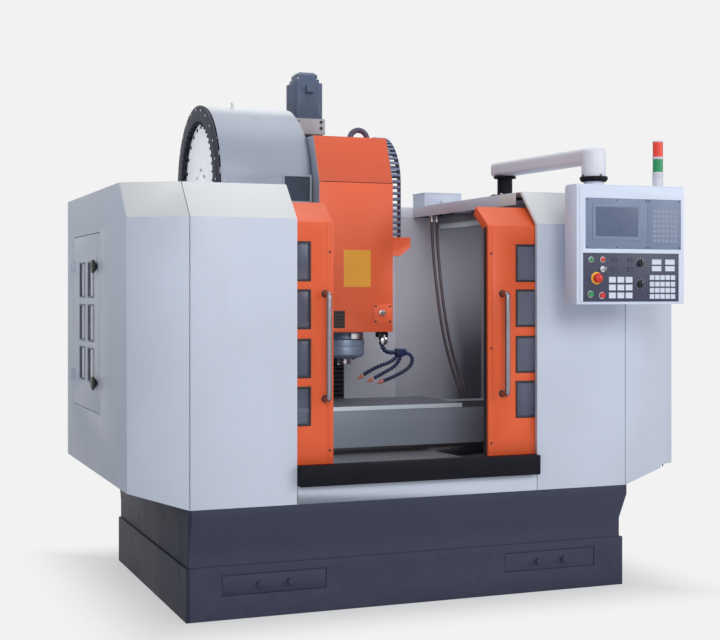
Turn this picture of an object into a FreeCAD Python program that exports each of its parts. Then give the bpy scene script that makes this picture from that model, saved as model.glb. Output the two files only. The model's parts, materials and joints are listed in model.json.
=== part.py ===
"""Vertical machining centre, millimetres, +X right, +Y back, +Z up.

The origin is on the floor, under the middle of the plinth. The spindle
axis stands at X = 0. Each sub-part is one STEP file in parts/.
"""
import FreeCAD
import Part

import math
import os

V = FreeCAD.Vector

# ---------------------------------------------------------------- sizes
# plinth and coolant tank
plinth_width, plinth_depth = 2180, 1480
plinth_wall = 4
foot_band_top = 236          # the lowest band stands proud of the one above
foot_band_proud = 12
chamfer_bottom = 327
flange_bottom, flange_top = 452, 496
flange_reach_front, flange_reach_side = 50, 12
hatch_width, hatch_height = 490, 92
hatch_offset, hatch_middle = 697, 150.5
hatch_gap = 4                # around each lift-off cover
hatch_knob_spacing = 140

# enclosure, all of folded sheet
sheet = 3
front_half = 1095            # middle to each front corner
front_y = -790
left_x, left_y = -1340, -630     # outer edge of the left wing
right_x, right_y = 1505, -580    # outer edge of the right wing
back_y = 945
wall_bottom = 496
wing_bottom = 562            # lower edge of the sides, behind the wings
bend_z, roof_z = 1770, 1934
roof_recess = 158            # how far the sloping top band runs back
doorway_half = 605
doorway_return = 24          # folded edge of the doorway
side_return = 60             # flange round the open roof
roof_gap_left = -748         # the roof is open wider beside the magazine
sill_bottom, sill_top = 576, 668
sill_reach = 40              # the sill stands in front of the doorway
rear_gap_half = 420          # the column stands in this gap

# sliding doors
door_width = 640
door_bottom, door_bend, door_top = 649, 1758, 1855
door_front, door_thick = -760, 45
door_recess = 130
door_skin = 3
sill_back = door_front + door_thick + 6          # the sill ends and the gutter begins
tray_front = sill_back + 26
left_door_edge, right_door_edge = -423, 358      # inner edges, part open
window_rows = ((841, 1018), (1056, 1233), (1276, 1455), (1491, 1671))
left_window = (-1003, -530)
right_window = (505, 930)
pane = 5
handle_bottom, handle_top = 948, 1448
handle_radius, handle_stand = 12.5, 58
left_handle_x, right_handle_x = -463, 432
handle_bend = 20
run_gap = 0.3                # clearance where a slide rests on its way

# side door with its panes
hatch_door = (-11, 744, 857, 1728)               # Y from, Y to, Z from, Z to
hatch_door_thick = 25
hatch_columns = ((152, 318), (404, 558))
hatch_rows = ((994, 1166), (1195, 1382), (1414, 1595))
side_knob_y, side_knobs_z = 72, (1000, 1567)
side_knob_radius = 34

# inside the chamber
chamber_half = 1047
chamber_front, chamber_back = -590, 700
neck_gap_half = 178
tray_low, tray_high = 590, 640
lamp_x, lamp_y, lamp_z = (692, 772), (-60, 535), (1800, 1878)    # under the roof on the right

# bed, saddle and table
bed_half, bed_front, bed_back = 400, -560, 1300
bed_bottom, bed_top = 40, 560
y_rail_x, y_rail_width, y_rail_height = 300, 45, 30
saddle_y, saddle_depth, saddle_half = 68, 420, 450
saddle_top = 745
x_rail_offset, x_rail_height = 140, 25
table_length, table_depth, table_top = 1000, 500, 869
table_thick = 80
slot_count, slot_pitch, slot_width, slot_neck = 5, 90, 18, 17
slot_wide, slot_wide_height = 30, 14
apron_bottom, apron_top = 660, 846
apron_half = 985
bellows_low, bellows_high = 700, 838
cover_top, cover_step = 640, 2.3         # leaves of the telescopic cover nest under each other

# column, head and spindle
column_front, column_top = 830, 2345
column_half_foot, column_half_top = 380, 290
column_back_foot, column_back_top = 1250, 1130
z_rail_x, z_rail_width, z_rail_height = 190, 45, 35
z_rail_from, z_rail_to = 900, 2320
screw_y, screw_radius = 880, 20
screw_gap = 1.0              # round the screw in its nut
head_half, head_front, head_back = 205, 44, 600
head_bottom, head_bend, head_top = 1234, 2013, 2259
head_recess = 95
cover_wall = 3
louvre_left, louvre_width, louvre_low, louvre_high = -126, 62, 1256, 1344
spindle_y = 228
nose_z = 1070
housing_radius, collar_radius = 108, 88
spindle_radius, taper_radius, taper_depth = 45, 22.2, 66
spindle_gap = 0.05
carriage_half, carriage_low, carriage_high = 250, 1250, 1880
chain_width, chain_thick, chain_radius = 60, 50, 250
chain_x, chain_y = 214, 90
chain_bottom = 1740
conduit_x, conduit_y = 130, 350
conduit_radius, conduit_loop = 15, 50
pipe_sides = 10
motor_side, motor_low, motor_high = 170, 2433, 2640
motor_cap_side, motor_cap_high = 118, 2703
motor_mount_half = 94

# tool magazine
magazine_y, magazine_z, magazine_left = 550, 2018, -725
magazine_radius = 420
roof_gap_step = magazine_y - magazine_radius - 60        # the roof opening clears the ring
magazine_gap_low = magazine_z - magazine_radius - 28     # the magazine passes through the rear above this
pot_count, pot_circle, pot_radius, pot_length, pot_sides = 24, 366, 32, 106, 10
disc_radius, disc_recess, disc_thick = 338, 30, 12
carrier_x, carrier_thick = magazine_left + 10 + pot_length, 10       # behind the pots
carrier_inner = disc_radius - 30
axle_radius = 30
cover_right = -215
cover_front_low, cover_back_low = 1860, 1700

# console
post_x, post_y, post_radius = 733, -208, 39
post_top = roof_z + 112
pivot_x, pivot_y = 795, -990
arm_height, arm_width = 72, 96
neck_top_z, flange_top_z = 1967.7, 1983
console_left, console_right = 651, 1233
console_front, console_back = -1080, -973
console_low, console_high = 1386, 1942
pod_left, pod_right, pod_back = 735, 1120, -905      # deeper housing behind, under the neck
pod_slope = 40
lamp_u, lamp_y_middle = 484, -1010
lamp_steps = (68, 72, 134, 144, 216, 222)            # heights where the tiers of the lamp start and end
screen_area = (96, 326, 104, 242)       # left, right, top, bottom from the corner
bezel_area = (44, 564, 64, 299)
operator_area = (31, 551, 318, 544)


# ---------------------------------------------------------------- tools
def box(x0, x1, y0, y1, z0, z1):
    return Part.makeBox(x1 - x0, y1 - y0, z1 - z0, V(x0, y0, z0))


def rod(radius, start, end):
    line = V(*end) - V(*start)
    return Part.makeCylinder(radius, line.Length, V(*start), line)


def face_of(points):
    corners = [V(*p) for p in points]
    return Part.Face(Part.makePolygon(corners + corners[:1]))


def prism(points, direction):
    return face_of(points).extrude(V(*direction))


def side_prism(outline, x0, x1):
    """Outline of (y, z) points, extruded along X."""
    return prism([(x0, y, z) for y, z in outline], (x1 - x0, 0, 0))


def plan_prism(outline, z0, z1):
    """Outline of (x, y) points, extruded along Z."""
    return prism([(x, y, z0) for x, y in outline], (0, 0, z1 - z0))


def loft(lower, upper):
    """Ruled solid between two outlines of (x, y, z) points."""
    wires = []
    for outline in (lower, upper):
        corners = [V(*p) for p in outline]
        wires.append(Part.makePolygon(corners + corners[:1]))
    return Part.makeLoft(wires, True, True)


def join(shapes):
    return shapes[0].multiFuse(shapes[1:]).removeSplitter()


def less(shape, cutters):
    return shape.cut(Part.makeCompound(cutters))


def turned(profile, centre):
    """Profile of (radius, z) points, turned about a vertical axis."""
    x, y = centre
    face = face_of([(x + r, y, z) for r, z in profile])
    return face.revolve(V(x, y, 0), V(0, 0, 1), 360)


def ring_of(shape, count, centre, axis):
    """Copies of a shape, evenly spaced about an axis."""
    copies = []
    for i in range(count):
        copy = shape.copy()
        copy.rotate(V(*centre), V(*axis), 360 * i / count)
        copies.append(copy)
    return copies


def moved(shape, x=0, y=0, z=0):
    copy = shape.copy()
    copy.translate(V(x, y, z))
    return copy


def mirrored(shape):
    return shape.mirror(V(0, 0, 0), V(1, 0, 0))


def tube(points, radius, sides=0):
    """Tube along straight runs joined by tangent arcs, and its arc radii; round unless it has sides."""
    corners = [V(*p) for p in points]
    edges, radii = [], []
    start = corners[0]
    for before, corner, after in zip(corners, corners[1:], corners[2:]):
        into, out = corner - before, after - corner
        half = into.getAngle(out) / 2
        bend = 0.45 * min(into.Length, out.Length)
        radii.append(bend / math.tan(half))
        into.normalize()
        out.normalize()
        first, last = corner - into * bend, corner + out * bend
        inward = out - into
        inward.normalize()
        centre = corner + inward * (bend / math.sin(half))
        middle = centre - inward * radii[-1]
        edges.append(Part.LineSegment(start, first).toShape())
        edges.append(Part.Arc(first, middle, last).toShape())
        start = last
    edges.append(Part.LineSegment(start, corners[-1]).toShape())
    along = corners[1] - corners[0]
    section = Part.Wire(Part.makeCircle(radius, corners[0], along))
    if sides:
        spots = section.discretize(sides + 1)
        section = Part.makePolygon(spots[:-1] + spots[:1])
    path = Part.Wire(edges)
    solid = path.makePipeShell([section], True, False)
    return solid, radii


def save(name, shape):
    solids = shape.Solids
    shape = solids[0] if len(solids) == 1 else Part.makeCompound(solids)
    shape.exportStep("parts/" + name + ".step")


# ---------------------------------------------------------------- plinth
def plinth_outline(proud, reach_front=0, reach_side=0):
    half, depth = plinth_width / 2 + reach_side + proud, plinth_depth / 2
    return [(-half, -depth - reach_front - proud), (half, -depth - reach_front - proud),
            (half, depth), (-half, depth)]


def at_height(outline, z):
    return [(x, y, z) for x, y in outline]


def shrunk(outline, wall):
    """A rectangle outline drawn in by a wall on every side."""
    (x0, y0), (x1, y1) = outline[0], outline[2]
    return [(x0 + wall, y0 + wall), (x1 - wall, y0 + wall), (x1 - wall, y1 - wall), (x0 + wall, y1 - wall)]


def plinth():
    band = plinth_outline(0)
    foot = plinth_outline(foot_band_proud)
    flange = plinth_outline(0, flange_reach_front, flange_reach_side)
    outer = join([plan_prism(foot, 0, foot_band_top),
                  plan_prism(band, foot_band_top, chamfer_bottom),
                  loft(at_height(band, chamfer_bottom), at_height(flange, flange_bottom)),
                  plan_prism(flange, flange_bottom, flange_top)])
    inner = plan_prism(shrunk(band, plinth_wall), 0, flange_top)
    half = hatch_width / 2
    openings = [box(side * hatch_offset - half, side * hatch_offset + half, -800, -600,
                    hatch_middle - hatch_height / 2, hatch_middle + hatch_height / 2)
                for side in (-1, 1)]
    rear_gap = box(-bed_half - 20, bed_half + 20, 0, plinth_depth, 0, flange_top)
    return less(outer, [inner, rear_gap] + openings)


def plinth_hatch(side):
    """Lift-off cover with two knobs, seated in its opening."""
    half, tall = hatch_width / 2 - hatch_gap, hatch_height / 2 - hatch_gap
    middle = side * hatch_offset
    face = -plinth_depth / 2 - foot_band_proud + 3
    plate = box(middle - half, middle + half, face, face + sheet, hatch_middle - tall, hatch_middle + tall)
    lip = box(middle - hatch_width / 2 + run_gap, middle + hatch_width / 2 - run_gap, face + sheet, face + 8,
              hatch_middle - hatch_height / 2 + run_gap, hatch_middle + hatch_height / 2 - run_gap)
    knobs = []
    for step in (-1, 1):
        x = middle + step * hatch_knob_spacing / 2
        knobs.append(rod(5, (x, face - 8, hatch_middle), (x, face, hatch_middle)))
        knobs.append(rod(13, (x, face - 22, hatch_middle), (x, face - 8, hatch_middle)))
    return join([plate, lip] + knobs)


# ---------------------------------------------------------------- enclosure
def wall_outline(recess=0, inset=0):
    """Plan of the enclosure's front and sides; recess moves the front back."""
    left_slope = (left_y - front_y) / (left_x + front_half)
    right_slope = (right_y - front_y) / (right_x - front_half)
    front = front_y + recess + inset
    left_corner = -front_half + inset * (math.hypot(1, left_slope) - 1) / left_slope
    right_corner = front_half + inset * (math.hypot(1, right_slope) - 1) / right_slope * -1
    left, right = left_x + inset, right_x - inset
    left_side = front + (left - left_corner) * left_slope
    right_side = front + (right - right_corner) * right_slope
    return [(left_corner, front), (right_corner, front), (right, right_side),
            (right, back_y - inset), (left, back_y - inset), (left, left_side)]


def enclosure_shell():
    def solid(inset):
        low = plan_prism(wall_outline(0, inset), wall_bottom, bend_z)
        cap = loft(at_height(wall_outline(0, inset), bend_z),
                   at_height(wall_outline(roof_recess, inset), roof_z))
        return low.fuse(cap)

    shell = solid(0).cut(solid(sheet))
    rise = wing_bottom - wall_bottom
    left_cut = prism([(-front_half, front_y - 50, wall_bottom), (left_x - 50, front_y - 50, wall_bottom),
                      (left_x - 50, front_y - 50, wing_bottom), (left_x, front_y - 50, wing_bottom)],
                     (0, 2000, 0))
    right_cut = prism([(front_half, front_y - 50, wall_bottom), (right_x + 50, front_y - 50, wall_bottom),
                       (right_x + 50, front_y - 50, wing_bottom), (right_x, front_y - 50, wing_bottom)],
                      (0, 2000, 0))
    behind = box(-2000, 2000, left_y, 2000, 0, wall_bottom + rise)
    return less(shell, [left_cut, right_cut, behind])


def doorway_edge(side):
    """Folded edge down one side of the doorway."""
    x = side * doorway_half
    near, far = front_y + sheet, front_y + doorway_return
    outline = [(near, sill_bottom), (near, bend_z), (near + roof_recess, roof_z),
               (far + roof_recess, roof_z), (far, bend_z), (far, sill_bottom)]
    return side_prism(outline, x, x + side * sheet)


def enclosure_panels():
    shell = enclosure_shell()
    side_front = right_y + 200
    doorway = box(-doorway_half, doorway_half, -2000, left_y + roof_recess, sill_bottom, 3000)
    shell = less(shell, [doorway])
    left = shell.common(box(-3000, -doorway_half, -2000, left_y, 0, 3000))
    left = left.fuse(shell.common(box(left_x + sheet, -doorway_half, left_y, side_front, bend_z, 3000)))
    right = shell.common(box(doorway_half, 3000, -2000, right_y, 0, 3000))
    right = right.fuse(shell.common(box(doorway_half, right_x - sheet, right_y, side_front, bend_z, 3000)))
    lower = shell.common(box(-doorway_half, doorway_half, -2000, left_y, 0, 3000))
    return join([left, doorway_edge(-1)]), join([right, doorway_edge(1)]), lower


def side_panel(side):
    """One side of the enclosure, with stiffened edges."""
    x = left_x if side < 0 else right_x
    front = left_y if side < 0 else right_y
    inward = -side
    outline = [(front, wing_bottom), (front, bend_z), (front + roof_recess, roof_z),
               (back_y, roof_z), (back_y, wing_bottom)]
    panel = side_prism(outline, x, x + inward * sheet)
    fold = box(min(x, x + inward * 30), max(x, x + inward * 30), front + 40, back_y - sheet, wing_bottom,
               wing_bottom + sheet)
    panel = panel.fuse(fold)
    if side < 0:
        y0, y1, z0, z1 = hatch_door
        gap = 4
        panel = less(panel, [box(x - 10, x + 10, y0 - gap, y1 + gap, z0 - gap, z1 + gap)])
        stop = box(x + sheet, x + 40, y0 - 30, y1 + 30, z0 - 30, z1 + 30)
        stop = less(stop, [box(x, x + 50, y0 - gap, y1 + gap, z0 - gap, z1 + gap)])
        lip = box(x + hatch_door_thick + run_gap, x + 40, y0 - 8, y1 + 8, z0 - 8, z1 + 8)
        lip = less(lip, [box(x, x + 50, y0 + 18, y1 - 18, z0 + 18, z1 - 18)])
        panel = join([panel, stop, lip])
    return panel.removeSplitter()


def rear_panels():
    top = roof_z - sheet
    left = box(left_x + sheet, -rear_gap_half, back_y - sheet, back_y, wing_bottom, top)
    left = left.cut(box(roof_gap_left, -rear_gap_half + 1, 0, 2000, magazine_gap_low, roof_z))
    right = box(rear_gap_half, right_x - sheet, back_y - sheet, back_y, wing_bottom, top)
    lip_right = box(rear_gap_half, rear_gap_half + sheet, back_y - 40, back_y - sheet, wing_bottom, top)
    lip_left = mirrored(lip_right).cut(box(-3000, 0, 0, 2000, magazine_gap_low, roof_z))
    return [join([left, lip_left]), join([right, lip_right])]


def roof_panels():
    top, under = roof_z, roof_z - sheet
    plan = wall_outline(roof_recess, sheet * 1.5)
    front_left, front_right, wing_right, back_right, back_left, wing_left = plan
    front = front_left[1]
    step = roof_gap_step
    left = plan_prism([(-doorway_half - sheet, front), (-doorway_half - sheet, step), (roof_gap_left, step),
                       (roof_gap_left, back_left[1]), back_left, wing_left, front_left], under, top)
    right = plan_prism([(doorway_half + sheet, front), (doorway_half + sheet, chamber_back),
                        (rear_gap_half, chamber_back), (rear_gap_half, back_right[1]), back_right, wing_right,
                        front_right], under, top)
    low = roof_z - side_return
    left_rim = [box(-doorway_half - sheet, -doorway_half, front + side_return, step, low, top),
                box(roof_gap_left - sheet, -doorway_half, step - sheet, step, low, under),
                box(roof_gap_left - sheet, roof_gap_left, step, back_y - sheet, low, under)]
    right_rim = [box(doorway_half, doorway_half + sheet, front + side_return, chamber_back, low, top),
                 box(rear_gap_half, doorway_half + sheet, chamber_back, chamber_back + sheet, low, under)]
    return [join([left] + left_rim), join([right] + right_rim)]


def doorway_sill():
    """Black sill: a lip in front of the doors and a floor under them."""
    outline = [(front_y - sill_reach, sill_bottom), (front_y - sill_reach, sill_top),
               (door_front - 6, sill_top), (door_front - 6, door_bottom - run_gap),
               (sill_back, door_bottom - run_gap), (sill_back, sill_bottom)]
    return side_prism(outline, -doorway_half + sheet, doorway_half - sheet)


def door_tracks():
    """Rails under the parked doors and guides at their heads."""
    ends = {-1: 1090, 1: 1088}
    rails = []
    for side in (-1, 1):
        inner, outer = side * (doorway_half + sheet), side * ends[side]
        x0, x1 = min(inner, outer), max(inner, outer)
        foot = box(x0, x1, door_front + 4, sill_back, sill_bottom + 20, door_bottom - run_gap)
        ledge = box(x0, x1, front_y + sheet, door_front + 4, sill_bottom + 20, sill_bottom + 26)
        guide_y = door_front + door_thick + run_gap
        guide = box(x0, x1, guide_y, guide_y + 18, door_bend - 90, door_bend - 30)
        post_x0 = outer - 30 if side > 0 else outer
        post = box(post_x0, post_x0 + 30, guide_y, guide_y + 18, sill_bottom + 20, door_bend - 30)
        rails.append(join([foot, ledge, guide, post]))
    return rails


# ---------------------------------------------------------------- doors
def door_profile():
    """Side outline of a door: upright, then sloping back to its top."""
    slope = V(0, door_recess, door_top - door_bend)
    slope.normalize()
    rear = door_front + door_thick
    top_y, top_z = door_front + door_recess, door_top
    back_y_top, back_z_top = top_y + slope.z * door_thick, top_z - slope.y * door_thick
    run = (back_y_top - rear) / slope.y
    return [(door_front, door_bottom), (door_front, door_bend), (top_y, top_z), (back_y_top, back_z_top),
            (rear, back_z_top - run * slope.z), (rear, door_bottom)]


def door_frame(inner_edge, side, window):
    """Folded door; side is -1 for the left door and 1 for the right one."""
    outer_edge = inner_edge + side * door_width
    x0, x1 = min(inner_edge, outer_edge), max(inner_edge, outer_edge)
    body = side_prism(door_profile(), x0, x1)
    hollow = side_prism([(door_front + door_skin, door_bottom + 30), (door_front + door_skin, door_bend),
                         (door_front + 90, door_bend + 62), (door_front + 200, door_bend + 62),
                         (door_front + 200, door_bottom + 30)], x0 + 28, x1 - 28)
    panes = [box(*window, door_front - 5, door_front + 20, low, high) for low, high in window_rows]
    frame = less(body, [hollow] + panes)
    bars = [box(x0 + 28, x1 - 28, door_front + door_skin, door_front + 24, low_row[1] + 12, high_row[0] - 12)
            for low_row, high_row in zip(window_rows, window_rows[1:])]
    return join([frame] + bars)


def door_glass(window):
    y = door_front + door_skin
    return Part.makeCompound([box(window[0] - 10, window[1] + 10, y, y + pane, low - 10, high + 10)
                              for low, high in window_rows])


def door_handle(x):
    """Bow handle bent from one bar."""
    r, bend = handle_radius, handle_bend
    bar_y = door_front - handle_stand
    low, high = handle_bottom + r, handle_top - r
    bar = rod(r, (x, bar_y, low + bend), (x, bar_y, high - bend))
    feet = []
    for z, toward in ((low, 1), (high, -1)):
        ring = Part.makeTorus(bend, r, V(x, bar_y + bend, z + toward * bend), V(1, 0, 0))
        z0, z1 = sorted((z - toward * r, z + toward * bend))
        feet.append(ring.common(box(x - r, x + r, bar_y - r, bar_y + bend, z0, z1)))
        feet.append(rod(r, (x, bar_y + bend, z), (x, door_front, z)))
    return join([bar] + feet)


def side_door():
    y0, y1, z0, z1 = hatch_door
    panel = box(left_x, left_x + sheet, y0, y1, z0, z1)
    rim = box(left_x + sheet, left_x + hatch_door_thick, y0, y1, z0, z1)
    rim = less(rim, [box(left_x, left_x + 50, y0 + sheet, y1 - sheet, z0 + sheet, z1 - sheet)])
    openings = [box(left_x - 5, left_x + 30, a, b, c, d) for a, b in hatch_columns for c, d in hatch_rows]
    panel = less(panel, openings)
    hinges = []
    for z in (z0 + 120, z1 - 180):
        hinges.append(rod(9, (left_x - 9, y1 - 2, z), (left_x - 9, y1 - 2, z + 60)))
        hinges.append(box(left_x - 9, left_x, y1 - 30, y1 - 2, z, z + 60))
    bores = [rod(8, (left_x - 20, side_knob_y, z), (left_x + 30, side_knob_y, z)) for z in side_knobs_z]
    return less(join([panel, rim] + hinges), bores)


def side_door_glass():
    return Part.makeCompound([box(left_x + sheet, left_x + sheet + 4, a - 10, b + 10, c - 10, d + 10)
                              for a, b in hatch_columns for c, d in hatch_rows])


def side_knob(z):
    """Round grip on a stem, with its latch tongue behind the panel."""
    out = left_x - 28
    stem = rod(7.9, (left_x - 10, side_knob_y, z), (left_x + 20, side_knob_y, z))
    profile = [(0, 0), (side_knob_radius - 6, 0), (side_knob_radius, 5), (side_knob_radius, 16),
               (side_knob_radius - 12, 24), (16, 27.7), (0, 27.7)]
    grip = face_of([(out + h, side_knob_y + r, z) for r, h in profile]).revolve(
        V(out, side_knob_y, z), V(1, 0, 0), 360)
    tongue = box(left_x + 13, left_x + 18, side_knob_y - 60, side_knob_y + 12, z - 10, z + 10)
    return join([grip, stem, tongue])


# ---------------------------------------------------------------- chamber
def chamber_walls():
    right = box(chamber_half, chamber_half + sheet, chamber_front, chamber_back, tray_high, roof_z - sheet)
    left = box(-chamber_half - sheet, -chamber_half, chamber_front, chamber_back, tray_high, 850)
    rear_left = box(-chamber_half, -neck_gap_half, chamber_back, chamber_back + sheet, tray_high,
                    magazine_gap_low)
    beside = box(-chamber_half, roof_gap_left, chamber_back, chamber_back + sheet, magazine_gap_low,
                 roof_z - side_return)
    rear_right = box(neck_gap_half, chamber_half, chamber_back, chamber_back + sheet, tray_high,
                     roof_z - side_return)
    seams = [box(x, x + 6, chamber_back - sheet, chamber_back, tray_high, 1800) for x in (494, 760)]
    rear_low = box(-neck_gap_half, neck_gap_half, chamber_back, chamber_back + sheet, tray_high, 700)
    return join([left, rear_left, beside, rear_low, rear_right, right] + seams)


def chip_tray():
    """Sloping floors either side of the bed, down to a front gutter."""
    trays = []
    for side in (-1, 1):
        outline = [(side * bed_half, tray_low), (side * (chamber_half + sheet), tray_high),
                   (side * (chamber_half + sheet), tray_high - sheet), (side * bed_half, tray_low - sheet)]
        length = chamber_back + sheet - tray_front
        trays.append(prism([(x, tray_front, z) for x, z in outline], (0, length, 0)))
        x0, x1 = sorted((side * bed_half, side * (bed_half + sheet)))
        trays.append(box(x0, x1, tray_front + sheet, chamber_back, flange_top, tray_low))
    low = tray_low - 60
    gutter = box(-chamber_half, chamber_half, sill_back + sheet, tray_front + sheet, low, low + sheet)
    lip = box(-chamber_half, chamber_half, tray_front, tray_front + sheet, low, tray_low)
    lip = lip.cut(box(-bed_half, bed_half, tray_front - 17, tray_front + 83, tray_low - 20, tray_low + 1))
    fence = box(-chamber_half, chamber_half, sill_back, sill_back + sheet, low, sill_bottom + 20)
    return join(trays + [gutter, lip, fence])


def work_lamp():
    """Lamp box under the roof, hung on two brackets."""
    housing = box(*lamp_x, *lamp_y, *lamp_z)
    length = lamp_y[1] - lamp_y[0]
    housing = housing.makeChamfer(12, [e for e in housing.Edges if abs(e.Length - length) < 1])
    brackets = [box(lamp_x[0] + 20, lamp_x[1] - 20, y, y + 30, lamp_z[1] - 1, roof_z - sheet)
                for y in (lamp_y[0] + 60, lamp_y[1] - 90)]
    return join([housing] + brackets)


# ---------------------------------------------------------------- bed and ways
def bed_casting():
    """Cast bed with ribbed flanks, and the foot that carries the column."""
    body = box(-bed_half, bed_half, bed_front, bed_back, bed_bottom, bed_top)
    foot_half = column_half_foot + 20
    foot = box(-foot_half, foot_half, column_front - 60, bed_back, bed_bottom, bed_top)
    pockets = []
    for side in (-1, 1):
        for i in range(5):
            y = bed_front + 60 + i * 350
            x0, x1 = sorted((side * bed_half, side * (bed_half - 70)))
            pockets.append(box(x0, x1, y, y + 290, bed_bottom + 60, bed_top - 60))
    channel = box(-60, 60, bed_front, chamber_back, bed_top - 70, bed_top)
    rails = [box(x - y_rail_width / 2, x + y_rail_width / 2, bed_front + 20, chamber_back + 60, bed_top,
                 bed_top + y_rail_height) for x in (-y_rail_x, y_rail_x)]
    return less(join([body, foot]), pockets + [channel]), rails


def levelling_feet():
    feet = []
    for x in (-bed_half + 70, bed_half - 70):
        for y in (bed_front + 40, 330, bed_back - 60):
            wedge = box(x - 48, x + 48, y - 60, y + 60, 0, 22)
            feet.append(join([wedge, rod(14, (x, y, 22), (x, y, bed_bottom))]))
    return feet


def saddle():
    """Saddle on its guide shoes, with the ways that carry the table."""
    y0, y1 = saddle_y - saddle_depth / 2, saddle_y + saddle_depth / 2
    low = bed_top + y_rail_height + run_gap
    body = box(-saddle_half, saddle_half, y0, y1, low, saddle_top)
    relief = [box(-saddle_half, saddle_half, y0, y1, low - 1, low + 40).cut(
        box(-370, 370, y0, y1, low - 2, low + 41))]
    shoes = []
    for x in (-y_rail_x, y_rail_x):
        for y in (y0 + 10, y1 - 110):
            shoe = box(x - 55, x + 55, y, y + 100, bed_top + 6, low + 5)
            groove = box(x - y_rail_width / 2 - run_gap, x + y_rail_width / 2 + run_gap, y - 1, y + 101,
                         bed_top, low)
            shoes.append(shoe.cut(groove))
    ways = [box(-saddle_half, saddle_half, y - 20, y + 20, saddle_top, saddle_top + x_rail_height)
            for y in (saddle_y - x_rail_offset, saddle_y + x_rail_offset)]
    return join([less(body, relief)] + shoes + ways)


def table():
    """Work table with T-slots along X and guide shoes under it."""
    y0 = saddle_y - table_depth / 2
    body = box(-table_length / 2, table_length / 2, y0, y0 + table_depth, table_top - table_thick, table_top)
    way_top = saddle_top + x_rail_height
    shoe = box(-table_length / 2 + 40, table_length / 2 - 40, y0 + 60, y0 + table_depth - 60,
               way_top + run_gap, table_top - table_thick)
    slots = []
    for i in range(slot_count):
        y = saddle_y + (i - (slot_count - 1) / 2) * slot_pitch
        end = table_length / 2 + 1
        neck = table_top - slot_neck
        slots.append(box(-end, end, y - slot_width / 2, y + slot_width / 2, neck - 1, table_top + 1))
        slots.append(box(-end, end, y - slot_wide / 2, y + slot_wide / 2, neck - slot_wide_height, neck))
    return less(join([body, shoe]), slots)


def apron():
    """Guards in front of and behind the ways, with their end plates."""
    front = saddle_y - table_depth / 2
    back = saddle_y + table_depth / 2
    face = box(-apron_half, apron_half, front - sheet, front, apron_bottom, apron_top)
    fold = box(-apron_half, apron_half, front, front + 40, apron_bottom, apron_bottom + sheet)
    rear = box(-apron_half, apron_half, back, back + sheet, bellows_low - 20, apron_top)
    ends = [box(x, x + sheet, front, back, bellows_low - 20, apron_top)
            for x in (-apron_half, apron_half - sheet)]
    floor = box(-apron_half, apron_half, front, back, bellows_low - 20, bellows_low - 20 + sheet)
    reach = saddle_depth / 2
    floor = floor.cut(box(-saddle_half, saddle_half, saddle_y - reach, saddle_y + reach, 0, 900))
    return join([face, fold, rear, floor] + ends)


def bellows(x0, x1, y0, y1, z0, z1, folds, depth=14):
    """Way bellows along X: a pleated hood, open underneath."""
    step = (x1 - x0) / folds
    ridge = []
    for i in range(folds):
        ridge += [(x0 + step * i, z1 - depth), (x0 + step * (i + 0.5), z1)]
    ridge.append((x1, z1 - depth))
    under = [(x, z - 4) for x, z in reversed(ridge)]
    outline = ridge + under
    top = prism([(x, y0, z) for x, z in outline], (0, y1 - y0, 0))
    walls = [box(x0, x1, y, y + 4, z0, z1 - depth - 2) for y in (y0, y1 - 4)]
    return join([top] + walls)


def z_bellows(z0, z1, folds=16, depth=16):
    """Pleated apron under the head, in front of the column's ways."""
    half = neck_gap_half - 8
    y = chamber_back - 6
    step = (z1 - z0) / folds
    front = []
    for i in range(folds):
        front += [(y, z0 + step * i), (y - depth, z0 + step * (i + 0.5))]
    front.append((y, z1))
    back = [(yy + 4, z) for yy, z in reversed(front)]
    return side_prism(front + back, -half, half)


def way_cover(y0, y1, top, half, drop):
    """One leaf of the telescopic cover over the front of the Y ways."""
    outline = [(-half - 4, top - drop), (-half - 4, top - 8), (-half + 40, top), (half - 40, top),
               (half + 4, top - 8), (half + 4, top - drop), (half + 2, top - drop), (half + 2, top - 9.5),
               (half - 41, top - 2), (-half + 41, top - 2), (-half - 2, top - 9.5), (-half - 2, top - drop)]
    leaf = prism([(x, y0, z) for x, z in outline], (0, y1 - y0, 0))
    return leaf


# ---------------------------------------------------------------- column and head
def column_outline(half, front, back, z):
    cut = 70
    return [(-half, front, z), (half, front, z), (half, back - cut, z), (half - cut, back, z),
            (-half + cut, back, z), (-half, back - cut, z)]


def column_casting():
    """Tapered casting with a screw channel in front and a cored back."""
    body = loft(column_outline(column_half_foot, column_front, column_back_foot, bed_top),
                column_outline(column_half_top, column_front, column_back_top, column_top))
    channel = box(-90, 90, column_front - 1, column_front + 110, bed_top + 140, column_top + 1)
    cores = []
    for i in range(3):
        z = bed_top + 160 + i * 540
        cores.append(box(-200, 200, column_back_top - 110, column_back_foot + 10, z, z + 460))
    rails = [box(x - z_rail_width / 2, x + z_rail_width / 2, column_front - z_rail_height, column_front,
                 z_rail_from, z_rail_to) for x in (-z_rail_x, z_rail_x)]
    bearings = []
    for z in (z_rail_from + 20, z_rail_to - 60):
        block = box(-80, 80, column_front + 20, column_front + 110, z, z + 40)
        bearings.append(block.cut(rod(screw_radius + screw_gap, (0, screw_y, z - 1), (0, screw_y, z + 41))))
    return join([less(body, [channel] + cores)] + bearings), rails


def z_screw():
    thread = rod(screw_radius, (0, screw_y, z_rail_from), (0, screw_y, motor_low - 20))
    collar = rod(screw_radius + 12, (0, screw_y, z_rail_from - 12), (0, screw_y, z_rail_from + 19.5))
    return join([thread, collar])


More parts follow.
